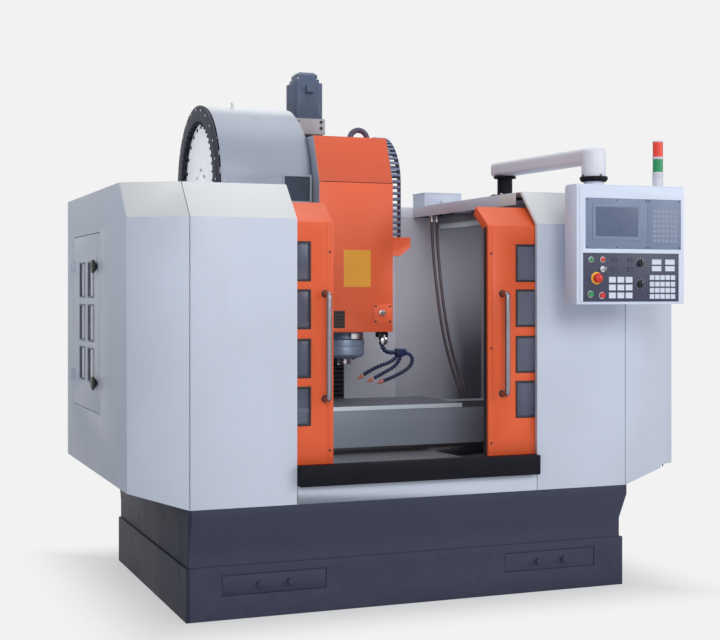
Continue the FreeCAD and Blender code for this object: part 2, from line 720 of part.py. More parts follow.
def z_motor():
    """Servo motor on its bracket, above the column."""
    half, cap = motor_side / 2, motor_cap_side / 2
    mount = motor_mount_half
    bracket = box(-mount, mount, screw_y - mount, column_back_top - 60, column_top, column_top + 18)
    riser = box(-mount, mount, screw_y - mount, screw_y + mount, column_top + 18, motor_low)
    riser = riser.cut(box(-mount + 14, mount - 14, screw_y - mount + 14, screw_y + mount + 1, column_top + 10,
                          motor_low - 16))
    body = box(-half, half, screw_y - half, screw_y + half, motor_low, motor_high)
    body = body.makeChamfer(14, [e for e in body.Edges if abs(e.Length - (motor_high - motor_low)) < 1])
    neck = box(-cap - 8, cap + 8, screw_y - cap - 8, screw_y + cap + 8, motor_high, motor_high + 22)
    end = box(-cap, cap, screw_y - cap, screw_y + cap, motor_high + 22, motor_cap_high)
    end = end.makeChamfer(16, [e for e in end.Edges if e.BoundBox.ZMin > motor_cap_high - 1])
    plug = box(-22, 22, screw_y - half - 34, screw_y - cap, motor_high - 60, motor_high - 20)
    bore = rod(screw_radius + 4, (0, screw_y, column_top - 1), (0, screw_y, motor_low - 10))
    return less(join([bracket, riser, body, neck, end, plug]), [bore])


def head_profile(inset=0):
    slope = math.atan2(head_recess, head_top - head_bend)
    shift = inset * math.tan(slope / 2)
    top = head_top - inset
    return [(head_front + inset, head_bottom - 1 if inset else head_bottom),
            (head_front + inset, head_bend - shift),
            (head_front + head_recess + inset - inset * math.tan(slope), top),
            (head_back + (1 if inset else 0), top),
            (head_back + (1 if inset else 0), head_bottom - 1 if inset else head_bottom)]


def head_cover():
    """Sheet cover of the head, open underneath and behind, louvred low down."""
    outer = side_prism(head_profile(), -head_half, head_half)
    inner = side_prism(head_profile(cover_wall), -head_half + cover_wall, head_half - cover_wall)
    louvres = [box(louvre_left, louvre_left + louvre_width, head_front - 5, head_front + 10, z, z + 9)
               for z in range(louvre_low, louvre_high, 18)]
    return less(outer, [inner] + louvres)


def head_casting():
    """Head casting: spindle barrel, neck and the carriage on the ways."""
    barrel = box(-150, 150, head_front + 24, chamber_back - 40, head_bottom + 6, 1860)
    skirt = box(-head_half + cover_wall, head_half - cover_wall, head_front + cover_wall, head_back - 20,
                head_bottom + 2, head_bottom + 10)
    neck = box(-150, 150, head_back - 60, column_front - z_rail_height - 20, carriage_low, carriage_high)
    plate = box(-carriage_half, carriage_half, column_front - z_rail_height - 56,
                column_front - z_rail_height - 5, carriage_low, carriage_high)
    shoes = []
    for x in (-z_rail_x, z_rail_x):
        for z in (carriage_low + 20, carriage_high - 150):
            shoe = box(x - 50, x + 50, column_front - z_rail_height - 5, column_front - 6, z, z + 130)
            groove = box(x - z_rail_width / 2 - run_gap, x + z_rail_width / 2 + run_gap,
                         column_front - z_rail_height - run_gap, column_front, z - 1, z + 131)
            shoes.append(shoe.cut(groove))
    nut = box(-52, 52, column_front - z_rail_height - 5, screw_y + 44, 1500, 1600)
    bore = rod(screw_radius + screw_gap, (0, screw_y, 1499), (0, screw_y, 1601))
    motor = rod(120, (0, 300, 1860), (0, 300, head_top - 20))
    spindle_bore = rod(spindle_radius + 6, (0, spindle_y, head_bottom - 10), (0, spindle_y, 1500))
    return less(join([barrel, skirt, neck, plate, nut, motor] + shoes), [bore, spindle_bore])


def spindle_housing():
    """Turned nose housing, with its collar and drip ring."""
    bore = spindle_radius + spindle_gap
    profile = [(bore, nose_z + 22), (collar_radius - 16, nose_z + 22), (housing_radius - 14, nose_z + 30),
               (housing_radius, nose_z + 44), (housing_radius, nose_z + 122), (collar_radius, nose_z + 130),
               (collar_radius, head_bottom + 2), (bore, head_bottom + 2)]
    return turned(profile, (0, spindle_y))


def spindle():
    """Spindle nose with its taper socket and two drive keys."""
    r, t = spindle_radius, taper_radius
    low = nose_z - 6
    deep = low + taper_depth
    profile = [(t, low), (r - 8, low), (r - 8, nose_z + 16), (r, nose_z + 20), (r, head_bottom + 60),
               (0, head_bottom + 60), (0, deep + 14), (8, deep + 14), (8, deep), (t - 9.6, deep)]
    body = turned(profile, (0, spindle_y))
    keys = [box(x - 8, x + 8, spindle_y - 8, spindle_y + 8, low - 8, low + 1) for x in (-30, 30)]
    return join([body] + keys)


def coolant_lines():
    """Manifold under the head, and three jointed nozzle pipes."""
    manifold = [box(140, 196, 84, 130, 1204, head_bottom + 2), rod(15, (168, 107, 1166), (168, 107, 1204)),
                rod(22, (168, 70, 1186), (168, 84, 1186)), rod(10, (168, 84, 1186), (168, 107, 1186))]
    feed, _ = tube([(168, 107, 1176), (172, 107, 1140), (206, 104, 1120), (250, 100, 1124)], 11, pipe_sides)
    block = box(244, 300, 80, 120, 1104, 1144)
    routes = [[(256, 100, 1110), (236, 100, 1076), (130, 126, 1044), (70, 148, 998)],
              [(276, 100, 1110), (264, 104, 1058), (170, 130, 1006), (122, 140, 978)],
              [(296, 100, 1124), (356, 102, 1108), (326, 114, 1020), (180, 138, 968)]]
    pipes = [tube(route, 10, pipe_sides)[0] for route in routes]
    tips = []
    for route in routes:
        a, b = V(*route[-2]), V(*route[-1])
        along = b - a
        along.normalize()
        tips.append(Part.makeCone(10, 5, 30, b - along * 2, along))
    return join(manifold + [feed, block] + pipes + tips)


def chain_side():
    """Bracket on the head that carries the cable chain."""
    y0, top = chain_y - 12, chain_bottom - 8
    outline = [(head_half, chain_bottom - 106), (head_half + 60, chain_bottom - 106),
               (head_half + 116, chain_bottom - 60), (head_half + 116, top), (head_half, top)]
    web = prism([(x, y0, z) for x, z in outline], (0, chain_thick + 24, 0))
    hollow = prism([(x, y0 + 4, z) for x, z in
                    [(head_half + 4, chain_bottom - 102), (head_half + 58, chain_bottom - 102),
                     (head_half + 112, chain_bottom - 58), (head_half + 112, chain_bottom - 12),
                     (head_half + 4, chain_bottom - 12)]], (0, chain_thick + 40, 0))
    return web.cut(hollow)


def chain_route():
    """Middle line of the chain: up from the head, over, and down to the wall."""
    y = chain_y + chain_thick / 2
    rise = 2290 - chain_thick / 2 - chain_radius
    return y, rise


def cable_chain():
    """Link chain as one band with notches between its links."""
    y, rise = chain_route()
    x0, x1 = chain_x, chain_x + chain_width
    outer, inner = chain_radius + chain_thick / 2, chain_radius - chain_thick / 2
    mid_y = y + chain_radius
    ring = Part.makeCylinder(outer, x1 - x0, V(x0, mid_y, rise), V(1, 0, 0))
    ring = ring.cut(Part.makeCylinder(inner, x1 - x0, V(x0, mid_y, rise), V(1, 0, 0)))
    ring = ring.common(box(x0, x1, mid_y - 400, mid_y + 400, rise, rise + 400))
    front = box(x0, x1, y - chain_thick / 2, y + chain_thick / 2, chain_bottom - 8, rise)
    back = box(x0, x1, mid_y + inner, mid_y + outer, chain_bottom + 20, rise)
    return join([front, ring, back])


def chain_post():
    """Fixed end of the chain, on a bar from the rear wall."""
    y, _ = chain_route()
    back = y + chain_radius * 2
    seat = box(chain_x - 4, chain_x + chain_width + 4, back - chain_thick / 2, chamber_back,
               chain_bottom + 8, chain_bottom + 20)
    web = box(chain_x + 20, chain_x + 28, back - 10, chamber_back, chain_bottom - 60, chain_bottom + 8)
    return join([seat, web])


def head_conduit():
    """Motor cable loop on top of the head."""
    x, y = conduit_x, conduit_y
    corners = [math.radians(360 * (i + 0.5) / pipe_sides) for i in range(pipe_sides)]
    section = face_of([(x + conduit_loop + conduit_radius * math.cos(a), y + conduit_radius * math.sin(a),
                        head_top + 14) for a in corners])
    loop = section.revolve(V(x, y, head_top + 14), V(0, -1, 0), 180)
    glands = [rod(20, (x + side * conduit_loop, y, head_top), (x + side * conduit_loop, y, head_top + 14))
              for side in (-1, 1)]
    return join([loop] + glands)


# ---------------------------------------------------------------- magazine
def magazine_cover():
    """Arched cover beside the head, with an inspection window low in front."""
    outer_r, inner_r = magazine_radius - 3, magazine_radius - 3 - sheet
    x0, x1 = magazine_left + 24, cover_right

    def arch(radius, x_from, x_to, drop):
        y0, y1 = magazine_y - radius, magazine_y + radius
        top = Part.makeCylinder(radius, x_to - x_from, V(x_from, magazine_y, magazine_z), V(1, 0, 0))
        top = top.common(box(x_from, x_to, y0, y1, magazine_z, magazine_z + radius))
        front = box(x_from, x_to, y0, magazine_y, cover_front_low - drop, magazine_z)
        back = box(x_from, x_to, magazine_y, y1, cover_back_low - drop, magazine_z)
        return join([top, front, back])

    def softened(shape, x_end, size):
        crown = [e for e in shape.Edges if e.BoundBox.ZMax > magazine_z + 10
                 and max(abs(e.BoundBox.XMin - x_end), abs(e.BoundBox.XMax - x_end)) < 0.1]
        return shape.makeChamfer(size, crown)

    shell = softened(arch(outer_r, x0, x1, 0), x1, 22)
    shell = shell.cut(softened(arch(inner_r, x0 - 1, x1 - sheet, 10), x1 - sheet, 20))
    window = box(-362, -226, magazine_y - outer_r - 20, magazine_y - outer_r + 60, 1914, 2042)
    gap = box(x0 - 10, x1 + 10, magazine_y - 300, magazine_y + 600, cover_back_low - 20, magazine_z - 150)
    beside_column = box(-450, 0, chamber_back - 10, 2000, 0, 3000)
    eye_z = magazine_z + magazine_radius - 6
    eye = rod(18, (-564, 420, eye_z), (-556, 420, eye_z)).cut(rod(10, (-570, 420, eye_z), (-550, 420, eye_z)))
    eye_base = rod(10, (-560, 420, eye_z - 34), (-560, 420, eye_z - 12))
    return join([less(shell, [window, gap, beside_column]), eye_base, eye])


def magazine_window():
    y = magazine_y - magazine_radius + 3 + sheet + 0.9
    return box(-366, -222, y, y + 4, 1910, 2044)


def magazine_ring():
    """Tool pots round the disc, with their guard plates outside."""
    x, top = magazine_left, magazine_z + pot_circle
    corners = [math.radians(360 * (i + 0.5) / pot_sides) for i in range(pot_sides)]
    pot = prism([(x + 10, magazine_y + pot_radius * math.cos(a), top + pot_radius * math.sin(a))
                 for a in corners], (pot_length, 0, 0))
    pots = ring_of(pot, pot_count, (0, magazine_y, magazine_z), (1, 0, 0))
    plate = Part.makeCylinder(magazine_radius, 16, V(x, magazine_y, magazine_z), V(1, 0, 0))
    plate = plate.cut(Part.makeCylinder(disc_radius, 30, V(x - 5, magazine_y, magazine_z), V(1, 0, 0)))
    tooth = box(x - 5, x + 25, magazine_y - 9, magazine_y + 9, magazine_z + disc_radius - 6,
                magazine_z + disc_radius + 14)
    plate = less(plate, ring_of(tooth, pot_count * 2, (0, magazine_y, magazine_z), (1, 0, 0)))
    carrier = rod(pot_circle + 10, (carrier_x, magazine_y, magazine_z),
                  (carrier_x + carrier_thick, magazine_y, magazine_z))
    carrier = carrier.cut(rod(carrier_inner, (carrier_x - 5, magazine_y, magazine_z),
                              (carrier_x + carrier_thick + 5, magazine_y, magazine_z)))
    return join([plate, carrier] + pots)


def magazine_disc():
    """White disc inside the ring, with its hub."""
    x = magazine_left + disc_recess
    face_radius = pot_circle - pot_radius - 4
    disc = Part.makeCylinder(face_radius, disc_thick, V(x, magazine_y, magazine_z), V(1, 0, 0))
    hub = rod(70, (x + disc_thick, magazine_y, magazine_z), (carrier_x, magazine_y, magazine_z))
    cap = rod(46, (x - 14, magazine_y, magazine_z), (x, magazine_y, magazine_z))
    drum = rod(carrier_inner, (x + disc_thick, magazine_y, magazine_z), (carrier_x, magazine_y, magazine_z))
    drum = drum.cut(rod(carrier_inner - 14, (x, magazine_y, magazine_z), (0, magazine_y, magazine_z)))
    back = rod(carrier_inner, (carrier_x, magazine_y, magazine_z),
               (carrier_x + carrier_thick, magazine_y, magazine_z))
    bore = rod(axle_radius + spindle_gap, (x + 20, magazine_y, magazine_z), (0, magazine_y, magazine_z))
    return join([disc, hub, cap, drum, back]).cut(bore)


def magazine_frame(column):
    """Bracket from the column, the disc's axle and its drive."""
    x = magazine_left + disc_recess
    axle = rod(axle_radius, (x + 24, magazine_y, magazine_z), (-400, magazine_y, magazine_z))
    plate = box(-480, -440, magazine_y - 260, column_front + 40, magazine_z - 330, magazine_z + 230)
    front_edges = [e for e in plate.Edges if abs(e.Length - 40) < 0.1 and e.BoundBox.YMax < 400]
    plate = plate.makeFillet(60, front_edges)
    y, z = column_front, magazine_z
    arm = box(-440, -column_half_top + 6, y + 10, y + 200, z - 250, z + 150)
    arm = arm.cut(box(-420, -column_half_top - 30, y + 5, y + 160, z - 230, z + 130))
    drive = rod(62, (-440, magazine_y + 60, magazine_z - 190), (-260, magazine_y + 60, magazine_z - 190))
    gearbox = box(-440, -330, magazine_y - 80, magazine_y + 160, magazine_z - 290, magazine_z - 90)
    shelf = box(-480, cover_right - sheet, magazine_y + 80, magazine_y + 130, z - 60, z - 30)
    return join([axle, plate, arm.cut(column), drive, gearbox, shelf])


# ---------------------------------------------------------------- rear and roof
def cabinet():
    """Electrical cabinet behind the right wall, on its own legs."""
    x0, x1, y0, y1, z0, z1 = 470, 1290, back_y, 1330, 300, 1880
    body = box(x0, x1, y0, y1 - 30, z0, z1)
    inside = box(x0 + sheet, x1 - sheet, y0 + sheet, y1, z0 + sheet, z1 - sheet)
    body = body.cut(inside)
    backplate = box(x0 + 60, x1 - 60, y0 + 20, y0 + 30, z0 + 60, z1 - 60)
    spacers = [box(x, x + 20, y0 + sheet, y0 + 20, z0 + 70, z1 - 70) for x in (x0 + 80, x1 - 100)]
    corners = [(x, y) for x in (x0 + 10, x1 - 70) for y in (y0 + 10, y1 - 110)]
    legs = [box(x, x + 60, y, y + 60, 0, z0) for x, y in corners]
    pads = [box(x - 10, x + 70, y - 10, y + 70, 0, 8) for x, y in corners]
    return join([body, backplate] + spacers + legs + pads)


def cabinet_door():
    x0, x1, y1, z0, z1 = 470, 1290, 1330, 300, 1880
    leaf = box(x0, x1, y1 - 29.5, y1, z0, z1)
    leaf = leaf.cut(box(x0 + sheet, x1 - sheet, y1 - 40, y1 - sheet, z0 + sheet, z1 - sheet))
    vents = [box(x0 + 250, x1 - 250, y1 - 6, y1 + 5, z, z + 7) for z in range(z0 + 120, z0 + 260, 20)]
    handle = join([box(x0 + 40, x0 + 70, y1, y1 + 12, 1050, 1190),
                   box(x0 + 45, x0 + 65, y1 + 12, y1 + 34, 1070, 1100)])
    hinges = [rod(8, (x1 + 8, y1 - 8, z), (x1 + 8, y1 - 8, z + 70)) for z in (z0 + 150, z1 - 220)]
    leaves = [box(x1 - 10, x1 + 8, y1 - sheet, y1, z, z + 70) for z in (z0 + 150, z1 - 220)]
    return join([less(leaf, vents), handle] + hinges + leaves)


def roof_box():
    body = box(706, 945, 760, 930, roof_z, roof_z + 90)
    lid = box(702, 949, 756, 934, roof_z + 90, roof_z + 94)
    gland = rod(14, (825, 740, roof_z + 40), (825, 760, roof_z + 40))
    return join([body, lid, gland])


def arm_post():
    """Flanged post on the roof, with a running pin for the arm."""
    flange = rod(74, (post_x, post_y, roof_z), (post_x, post_y, roof_z + 14))
    column = rod(post_radius, (post_x, post_y, roof_z), (post_x, post_y, post_top - 12))
    collar = rod(58, (post_x, post_y, post_top - 12), (post_x, post_y, post_top))
    pin = rod(28, (post_x, post_y, post_top), (post_x, post_y, post_top + 50))
    under = box(post_x - 90, post_x + 90, post_y - 90, post_y + 90, roof_z - sheet - 8, roof_z - sheet)
    return [join([flange, column, collar, pin]), under]


def console_arm():
    """Swinging beam with a rounded elbow and a drop end over the console."""
    z0 = post_top + run_gap
    z1 = z0 + arm_height
    line = V(pivot_x - post_x, pivot_y - post_y, 0)
    length = line.Length
    beam = box(-arm_width / 2, arm_width / 2, -60, length, z0, z1)
    beam = beam.makeFillet(20, [e for e in beam.Edges if abs(e.Length - (length + 60)) < 0.1])
    elbow = arm_width / 2 + 9
    drop = rod(elbow, (0, length, flange_top_z), (0, length, z1))
    drop = drop.makeFillet(22, [e for e in drop.Edges if e.BoundBox.ZMin > z1 - 1])
    flange = rod(elbow + 8, (0, length, neck_top_z + run_gap), (0, length, flange_top_z))
    arm = join([beam, drop, flange])
    arm = arm.cut(rod(28.05, (0, 0, z0 - 1), (0, 0, z0 + 52)))
    arm = arm.cut(rod(24.05, (0, length, 1960), (0, length, 2040)))
    angle = math.degrees(math.atan2(line.y, line.x)) - 90
    arm.rotate(V(0, 0, 0), V(0, 0, 1), angle)
    return moved(arm, post_x, post_y)


def console_box():
    """Flat console housing with a deeper pod behind it, and its neck."""
    front, back, low, high = console_front, console_back, console_low, console_high
    outline = [(front, low), (front, high - 8), (front + 8, high),
               (back - 12, high), (back, high - 12), (back, low)]
    body = side_prism(outline, console_left, console_right)
    pod = side_prism([(console_back - 20, console_low + 30), (console_back - 20, console_high),
                      (pod_back - pod_slope / 2, console_high), (pod_back, console_high - pod_slope),
                      (pod_back, console_low + 60), (pod_back - 30, console_low + 30)], pod_left, pod_right)
    face = box(console_left + 14, console_right - 14, console_front - 4, console_front, console_low + 10,
               console_high - 12)
    recesses = [panel_box(area, -6, 2) for area in (bezel_area, operator_area)]
    neck = rod(46, (pivot_x, pivot_y, console_high), (pivot_x, pivot_y, neck_top_z))
    pin = rod(24, (pivot_x, pivot_y, 1967), (pivot_x, pivot_y, 2035))
    sockets = [rod(radius + 0.5, (x, console_front - 10, z), (x, console_front + 26, z))
               for x, z, radius in control_places()]
    return less(join([body, pod, face, neck, pin]), recesses + sockets)


def panel_box(area, front, back):
    """Box over an area of the console's face; depths are from its front."""
    left, right, top, bottom = area
    return box(console_left + left, console_left + right, console_front + front, console_front + back,
               console_high - bottom, console_high - top)


controls = {                                     # name: (from left, from top, stem radius)
    "emergency_stop": (103, 435, 11),
    "start_button": (72, 509, 10),
    "stop_button": (132, 515, 10),
    "key_switch": (134, 393, 10),
    "mode_knob": (339, 364, 6),
    "feed_knob": (339, 462, 6),
}


key_groups = {                                   # name: (columns, rows, half width, half height, proud)
    "input": (range(418, 534, 23), range(120, 259, 23), 9, 8, 4),
    "jog": ((186, 231, 276), (442, 478, 515), 18, 13, 6),
    "function": (range(402, 519, 29), (431, 462, 491, 520), 12, 11, 5),
    "mode": ((427, 501), (358, 389), 26, 12, 5),
    "selector": ((200, 284), (349, 393), 14, 10, 8),
    "lamp": ((72, 134), (349,), 11, 11, 8),
}


def control_places():
    return [(console_left + u, console_high - v, radius) for u, v, radius in controls.values()]


def console_panels():
    """Screen bezel and operator panel, with their keys."""
    bezel = panel_box(bezel_area, -2, 2)
    screen = panel_box(screen_area, -3, 0)
    bezel = bezel.cut(screen)
    operator = panel_box(operator_area, -2, 2)
    holes = [rod(radius + 0.5, (x, console_front - 10, z), (x, console_front + 10, z))
             for x, z, radius in control_places()]

    def keys(name):
        columns, rows, half_wide, half_high, proud = key_groups[name]
        return [panel_box((u - half_wide, u + half_wide, v - half_high, v + half_high), -proud, -1)
                for u in columns for v in rows]

    operator_keys = [key for name in key_groups if name != "input" for key in keys(name)]
    return [join([bezel] + keys("input")), join([less(operator, holes)] + operator_keys)]


def control_knob(name):
    """A push button, key switch or knob in its socket on the operator panel."""
    u, v, radius = controls[name]
    x, z = console_left + u, console_high - v
    front = console_front - 2

    def post(r, start, end):
        return rod(r, (x, front - start, z), (x, front - end, z))

    stem = post(radius, -20, 8)
    if name == "emergency_stop":
        profile = [(0, 8), (14, 8), (22, 14), (22, 22), (16, 30), (0, 33)]
        head = face_of([(x + r, front - h, z) for r, h in profile]).revolve(V(x, front, z), V(0, 1, 0), 360)
        return join([stem, head])
    if name == "key_switch":
        key = box(x - 1.5, x + 1.5, front - 34, front - 7, z - 10, z + 10)
        return join([stem, post(15, 0.3, 8), key])
    if name.endswith("knob"):
        cap = post(17, 0.3, 16)
        grip = box(x - 4, x + 4, front - 22, front - 15, z - 16, z + 16)
        return join([stem, cap, grip])
    return join([stem, post(12.5, 6, 12)])


def stack_light():
    """Two-tier signal lamp on the console."""
    x, y, z = console_left + lamp_u, lamp_y_middle, console_high

    def tier(radius, low, high):
        return rod(radius, (x, y, z + low), (x, y, z + high))

    base, green, green_top, red, red_top, cap = lamp_steps
    return [join([tier(27, 0, base), tier(25, base, green)]), tier(25, green, green_top),
            tier(26.5, green_top, red), tier(25, red, red_top), tier(26.5, red_top, cap)]


# ---------------------------------------------------------------- roof hoses
hose_radius = 8.5
hose_routes = [
    [(625, 478, 1874), (625, 478, 1780), (640, 464, 1530), (668, 438, 1240), (712, 392, 1000),
     (750, 342, 870), (750, 342, 790)],
    [(655, 478, 1874), (655, 478, 1780), (670, 464, 1530), (698, 438, 1240), (742, 392, 1000),
     (780, 342, 870), (780, 342, 790)],
]


def hose_plates():
    """Upper and lower fittings of the two hoses."""
    top = box(612, 680, 450, 506, 1874, 1882)
    top_hanger = box(612, 618, 450, 506, 1882, roof_z - sheet)
    low = box(730, 800, saddle_y + table_depth / 2 + sheet, 354, 766, 790)
    return join([top, top_hanger]), low


# ---------------------------------------------------------------- all pieces
def build():
    os.makedirs("parts", exist_ok=True)
    front_left, front_right, lower = enclosure_panels()
    save("plinth", plinth())
    save("plinth_hatch_left", plinth_hatch(-1))
    save("plinth_hatch_right", plinth_hatch(1))
    save("front_panel_left", Part.makeCompound([front_left, lower]))
    save("front_panel_right", front_right)
    save("side_panel_left", side_panel(-1))
    save("side_panel_right", side_panel(1))
    save("roof_and_rear_panels", Part.makeCompound(rear_panels() + roof_panels() + [roof_box()]))
    save("doorway_sill", Part.makeCompound([doorway_sill()] + door_tracks()))

    save("left_door", door_frame(left_door_edge, -1, left_window))
    save("left_door_glass", door_glass(left_window))
    save("left_door_handle", door_handle(left_handle_x))
    save("right_door", door_frame(right_door_edge, 1, right_window))
    save("right_door_glass", door_glass(right_window))
    save("right_door_handle", door_handle(right_handle_x))
    save("side_door", side_door())
    save("side_door_glass", side_door_glass())
    save("side_knob_low", side_knob(side_knobs_z[0]))
    save("side_knob_high", side_knob(side_knobs_z[1]))

    save("chamber_walls", chamber_walls())
    front_cover = way_cover(tray_front + sheet, -380, cover_top, 345, cover_top - bed_top)
    save("chip_tray", Part.makeCompound([chip_tray(), front_cover]))
    save("work_lamp", work_lamp())
    bed, y_rails = bed_casting()
    save("bed_casting", bed)
    save("levelling_feet", Part.makeCompound(levelling_feet()))
    hose_top, hose_low = hose_plates()
    save("saddle", saddle())
    save("way_guard", join([apron(), hose_low]))
    save("table", table())
    ends = table_length / 2, apron_half - sheet
    front, back = saddle_y - table_depth / 2, saddle_y + table_depth / 2
    right_bellows = bellows(ends[0], ends[1], front + 2, back - 2, bellows_low, bellows_high, 11)
    save("x_bellows", Part.makeCompound([right_bellows, mirrored(right_bellows)]))
    save("z_bellows", z_bellows(702, head_bottom + 16))
    save("way_cover_middle", way_cover(-600, -270, cover_top - cover_step, 338, 40))
    save("way_cover_rear", way_cover(-510, saddle_y - saddle_depth / 2, cover_top - 2 * cover_step, 331, 34))

    column, z_rails = column_casting()
    save("column_casting", column)
    save("guide_rails", Part.makeCompound(y_rails + z_rails))
    save("z_screw", z_screw())
    save("z_motor", z_motor())
    save("head_casting", head_casting())
    save("head_cover", join([head_cover(), chain_side()]))
    save("spindle_housing", spindle_housing())
    save("spindle", spindle())
    save("head_lines", Part.makeCompound([coolant_lines(), head_conduit()]))
    save("cable_chain", cable_chain())

    cover = magazine_cover()
    save("magazine_cover", Part.makeCompound([cover, magazine_window().cut(cover)]))
    save("magazine_ring", magazine_ring())
    save("magazine_disc", magazine_disc())
    save("magazine_frame", magazine_frame(column))
    save("cabinet", cabinet())
    save("cabinet_door", cabinet_door())

    post, plate = arm_post()
    save("arm_post", Part.makeCompound([post, plate, hose_top, chain_post()]))
    save("console_arm", console_arm())
    save("console_box", console_box())
    bezel, operator = console_panels()
    save("console_panels", Part.makeCompound([bezel, operator]))
    save("stack_light", Part.makeCompound(stack_light()))
    for name in controls:
        save(name, control_knob(name))
    for number, route in enumerate(hose_routes, 1):
        solid, radii = tube(route, hose_radius)
        save("roof_hose_%d" % number, solid)
        print("roof hose", number, "arc radii", [round(r) for r in radii])


build()
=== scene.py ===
import bpy
import json
import math
from mathutils import Matrix, Vector


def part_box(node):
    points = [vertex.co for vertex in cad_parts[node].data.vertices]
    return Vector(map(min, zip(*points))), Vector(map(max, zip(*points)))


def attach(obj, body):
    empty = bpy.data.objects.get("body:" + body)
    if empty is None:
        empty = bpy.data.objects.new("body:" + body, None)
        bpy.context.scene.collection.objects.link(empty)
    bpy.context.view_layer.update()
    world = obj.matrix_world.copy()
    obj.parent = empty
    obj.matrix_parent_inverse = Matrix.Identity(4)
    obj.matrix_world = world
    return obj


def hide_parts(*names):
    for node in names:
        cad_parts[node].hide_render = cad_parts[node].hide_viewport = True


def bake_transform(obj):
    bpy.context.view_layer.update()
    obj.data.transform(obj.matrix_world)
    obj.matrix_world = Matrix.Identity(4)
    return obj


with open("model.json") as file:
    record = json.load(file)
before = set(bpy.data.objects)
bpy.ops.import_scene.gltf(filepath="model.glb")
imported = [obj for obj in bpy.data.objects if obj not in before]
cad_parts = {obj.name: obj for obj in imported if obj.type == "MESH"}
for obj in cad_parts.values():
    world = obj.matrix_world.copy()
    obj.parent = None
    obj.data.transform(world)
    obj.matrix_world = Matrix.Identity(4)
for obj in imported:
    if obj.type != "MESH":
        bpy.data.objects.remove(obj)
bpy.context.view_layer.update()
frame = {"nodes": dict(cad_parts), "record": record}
record = frame["record"]


# camera, light and floor; each lamp has its place, size, power and target
studio = {"eye": (-2.528, -6.498, 1.443), "lookAlong": (0.363, 0.932, 0.0), "lensMm": 67.5, "shiftDown": 28 / 720,
          "backdrop": (242, 242, 242), "sky": (235, 238, 245), "ambient": 0.5, "ground": (216, 216, 218),
          "groundRadius": 14, "footprint": (1.09, 0.74), "floorFrom": 0.55, "floorTo": 0.55}
lamps = {"keyLamp": ((-1.2, -7.2, 4.0), 3.2, 160, (0, 0, 1.1)),
         "fillLamp": ((4.8, -5.5, 3.4), 3.0, 100, (0, 0, 1.1)),
         "topLamp": ((0, 0.5, 6.0), 4.0, 75, (0, 0, 1.1)),
         "chamberLamp": ((0.62, -0.1, 1.55), 0.5, 2.4, (0.62, 0.7, 0.85))}


def fromSrgb(colour):
    linear = []
    for channel in colour:
        share = channel / 255
        linear.append(share / 12.92 if share <= 0.04045 else ((share + 0.055) / 1.055) ** 2.4)
    return (*linear, 1.0)


def looking(way):
    return Vector(way).to_track_quat("-Z", "Y").to_euler()


def setCamera():
    data = bpy.data.cameras.new("photoCamera")
    camera = bpy.data.objects.new("photoCamera", data)
    bpy.context.collection.objects.link(camera)
    camera.location = studio["eye"]
    camera.rotation_euler = looking(studio["lookAlong"])
    data.lens = studio["lensMm"]
    data.sensor_width = 36
    data.shift_y = -studio["shiftDown"]
    data.clip_end = 60
    bpy.context.scene.camera = camera


def addLamp(name, place, size, power, target):
    data = bpy.data.lights.new(name, "AREA")
    data.shape = "DISK"
    data.size = size
    data.energy = power
    lamp = bpy.data.objects.new(name, data)
    bpy.context.collection.objects.link(lamp)
    lamp.location = place
    lamp.rotation_euler = looking(Vector(target) - Vector(place))


# shader maths as Python expressions
class Reading:
    # one value of a shader: a number, a colour or a socket
    def __init__(self, finish, socket):
        self.finish, self.socket = finish, socket

    def sum(self, kind, other, turned=False):
        first, second = (other, self) if turned else (self, other)
        return self.finish.add("ShaderNodeMath", {"operation": kind}, {0: first, 1: second})

    def __add__(self, other): return self.sum("ADD", other)
    def __radd__(self, other): return self.sum("ADD", other, True)
    def __sub__(self, other): return self.sum("SUBTRACT", other)
    def __rsub__(self, other): return self.sum("SUBTRACT", other, True)
    def __mul__(self, other): return self.sum("MULTIPLY", other)
    def __rmul__(self, other): return self.sum("MULTIPLY", other, True)
    def __truediv__(self, other): return self.sum("DIVIDE", other)
    def __gt__(self, other): return self.sum("GREATER_THAN", other)

    def part(self, name):
        return Reading(self.finish, self.socket.node.outputs[name])

    def band(self, low, high, toLow=0.0, toHigh=1.0):
        settings = {"interpolation_type": "SMOOTHSTEP"}
        return self.finish.add("ShaderNodeMapRange", settings, {0: self, 1: low, 2: high, 3: toLow, 4: toHigh})


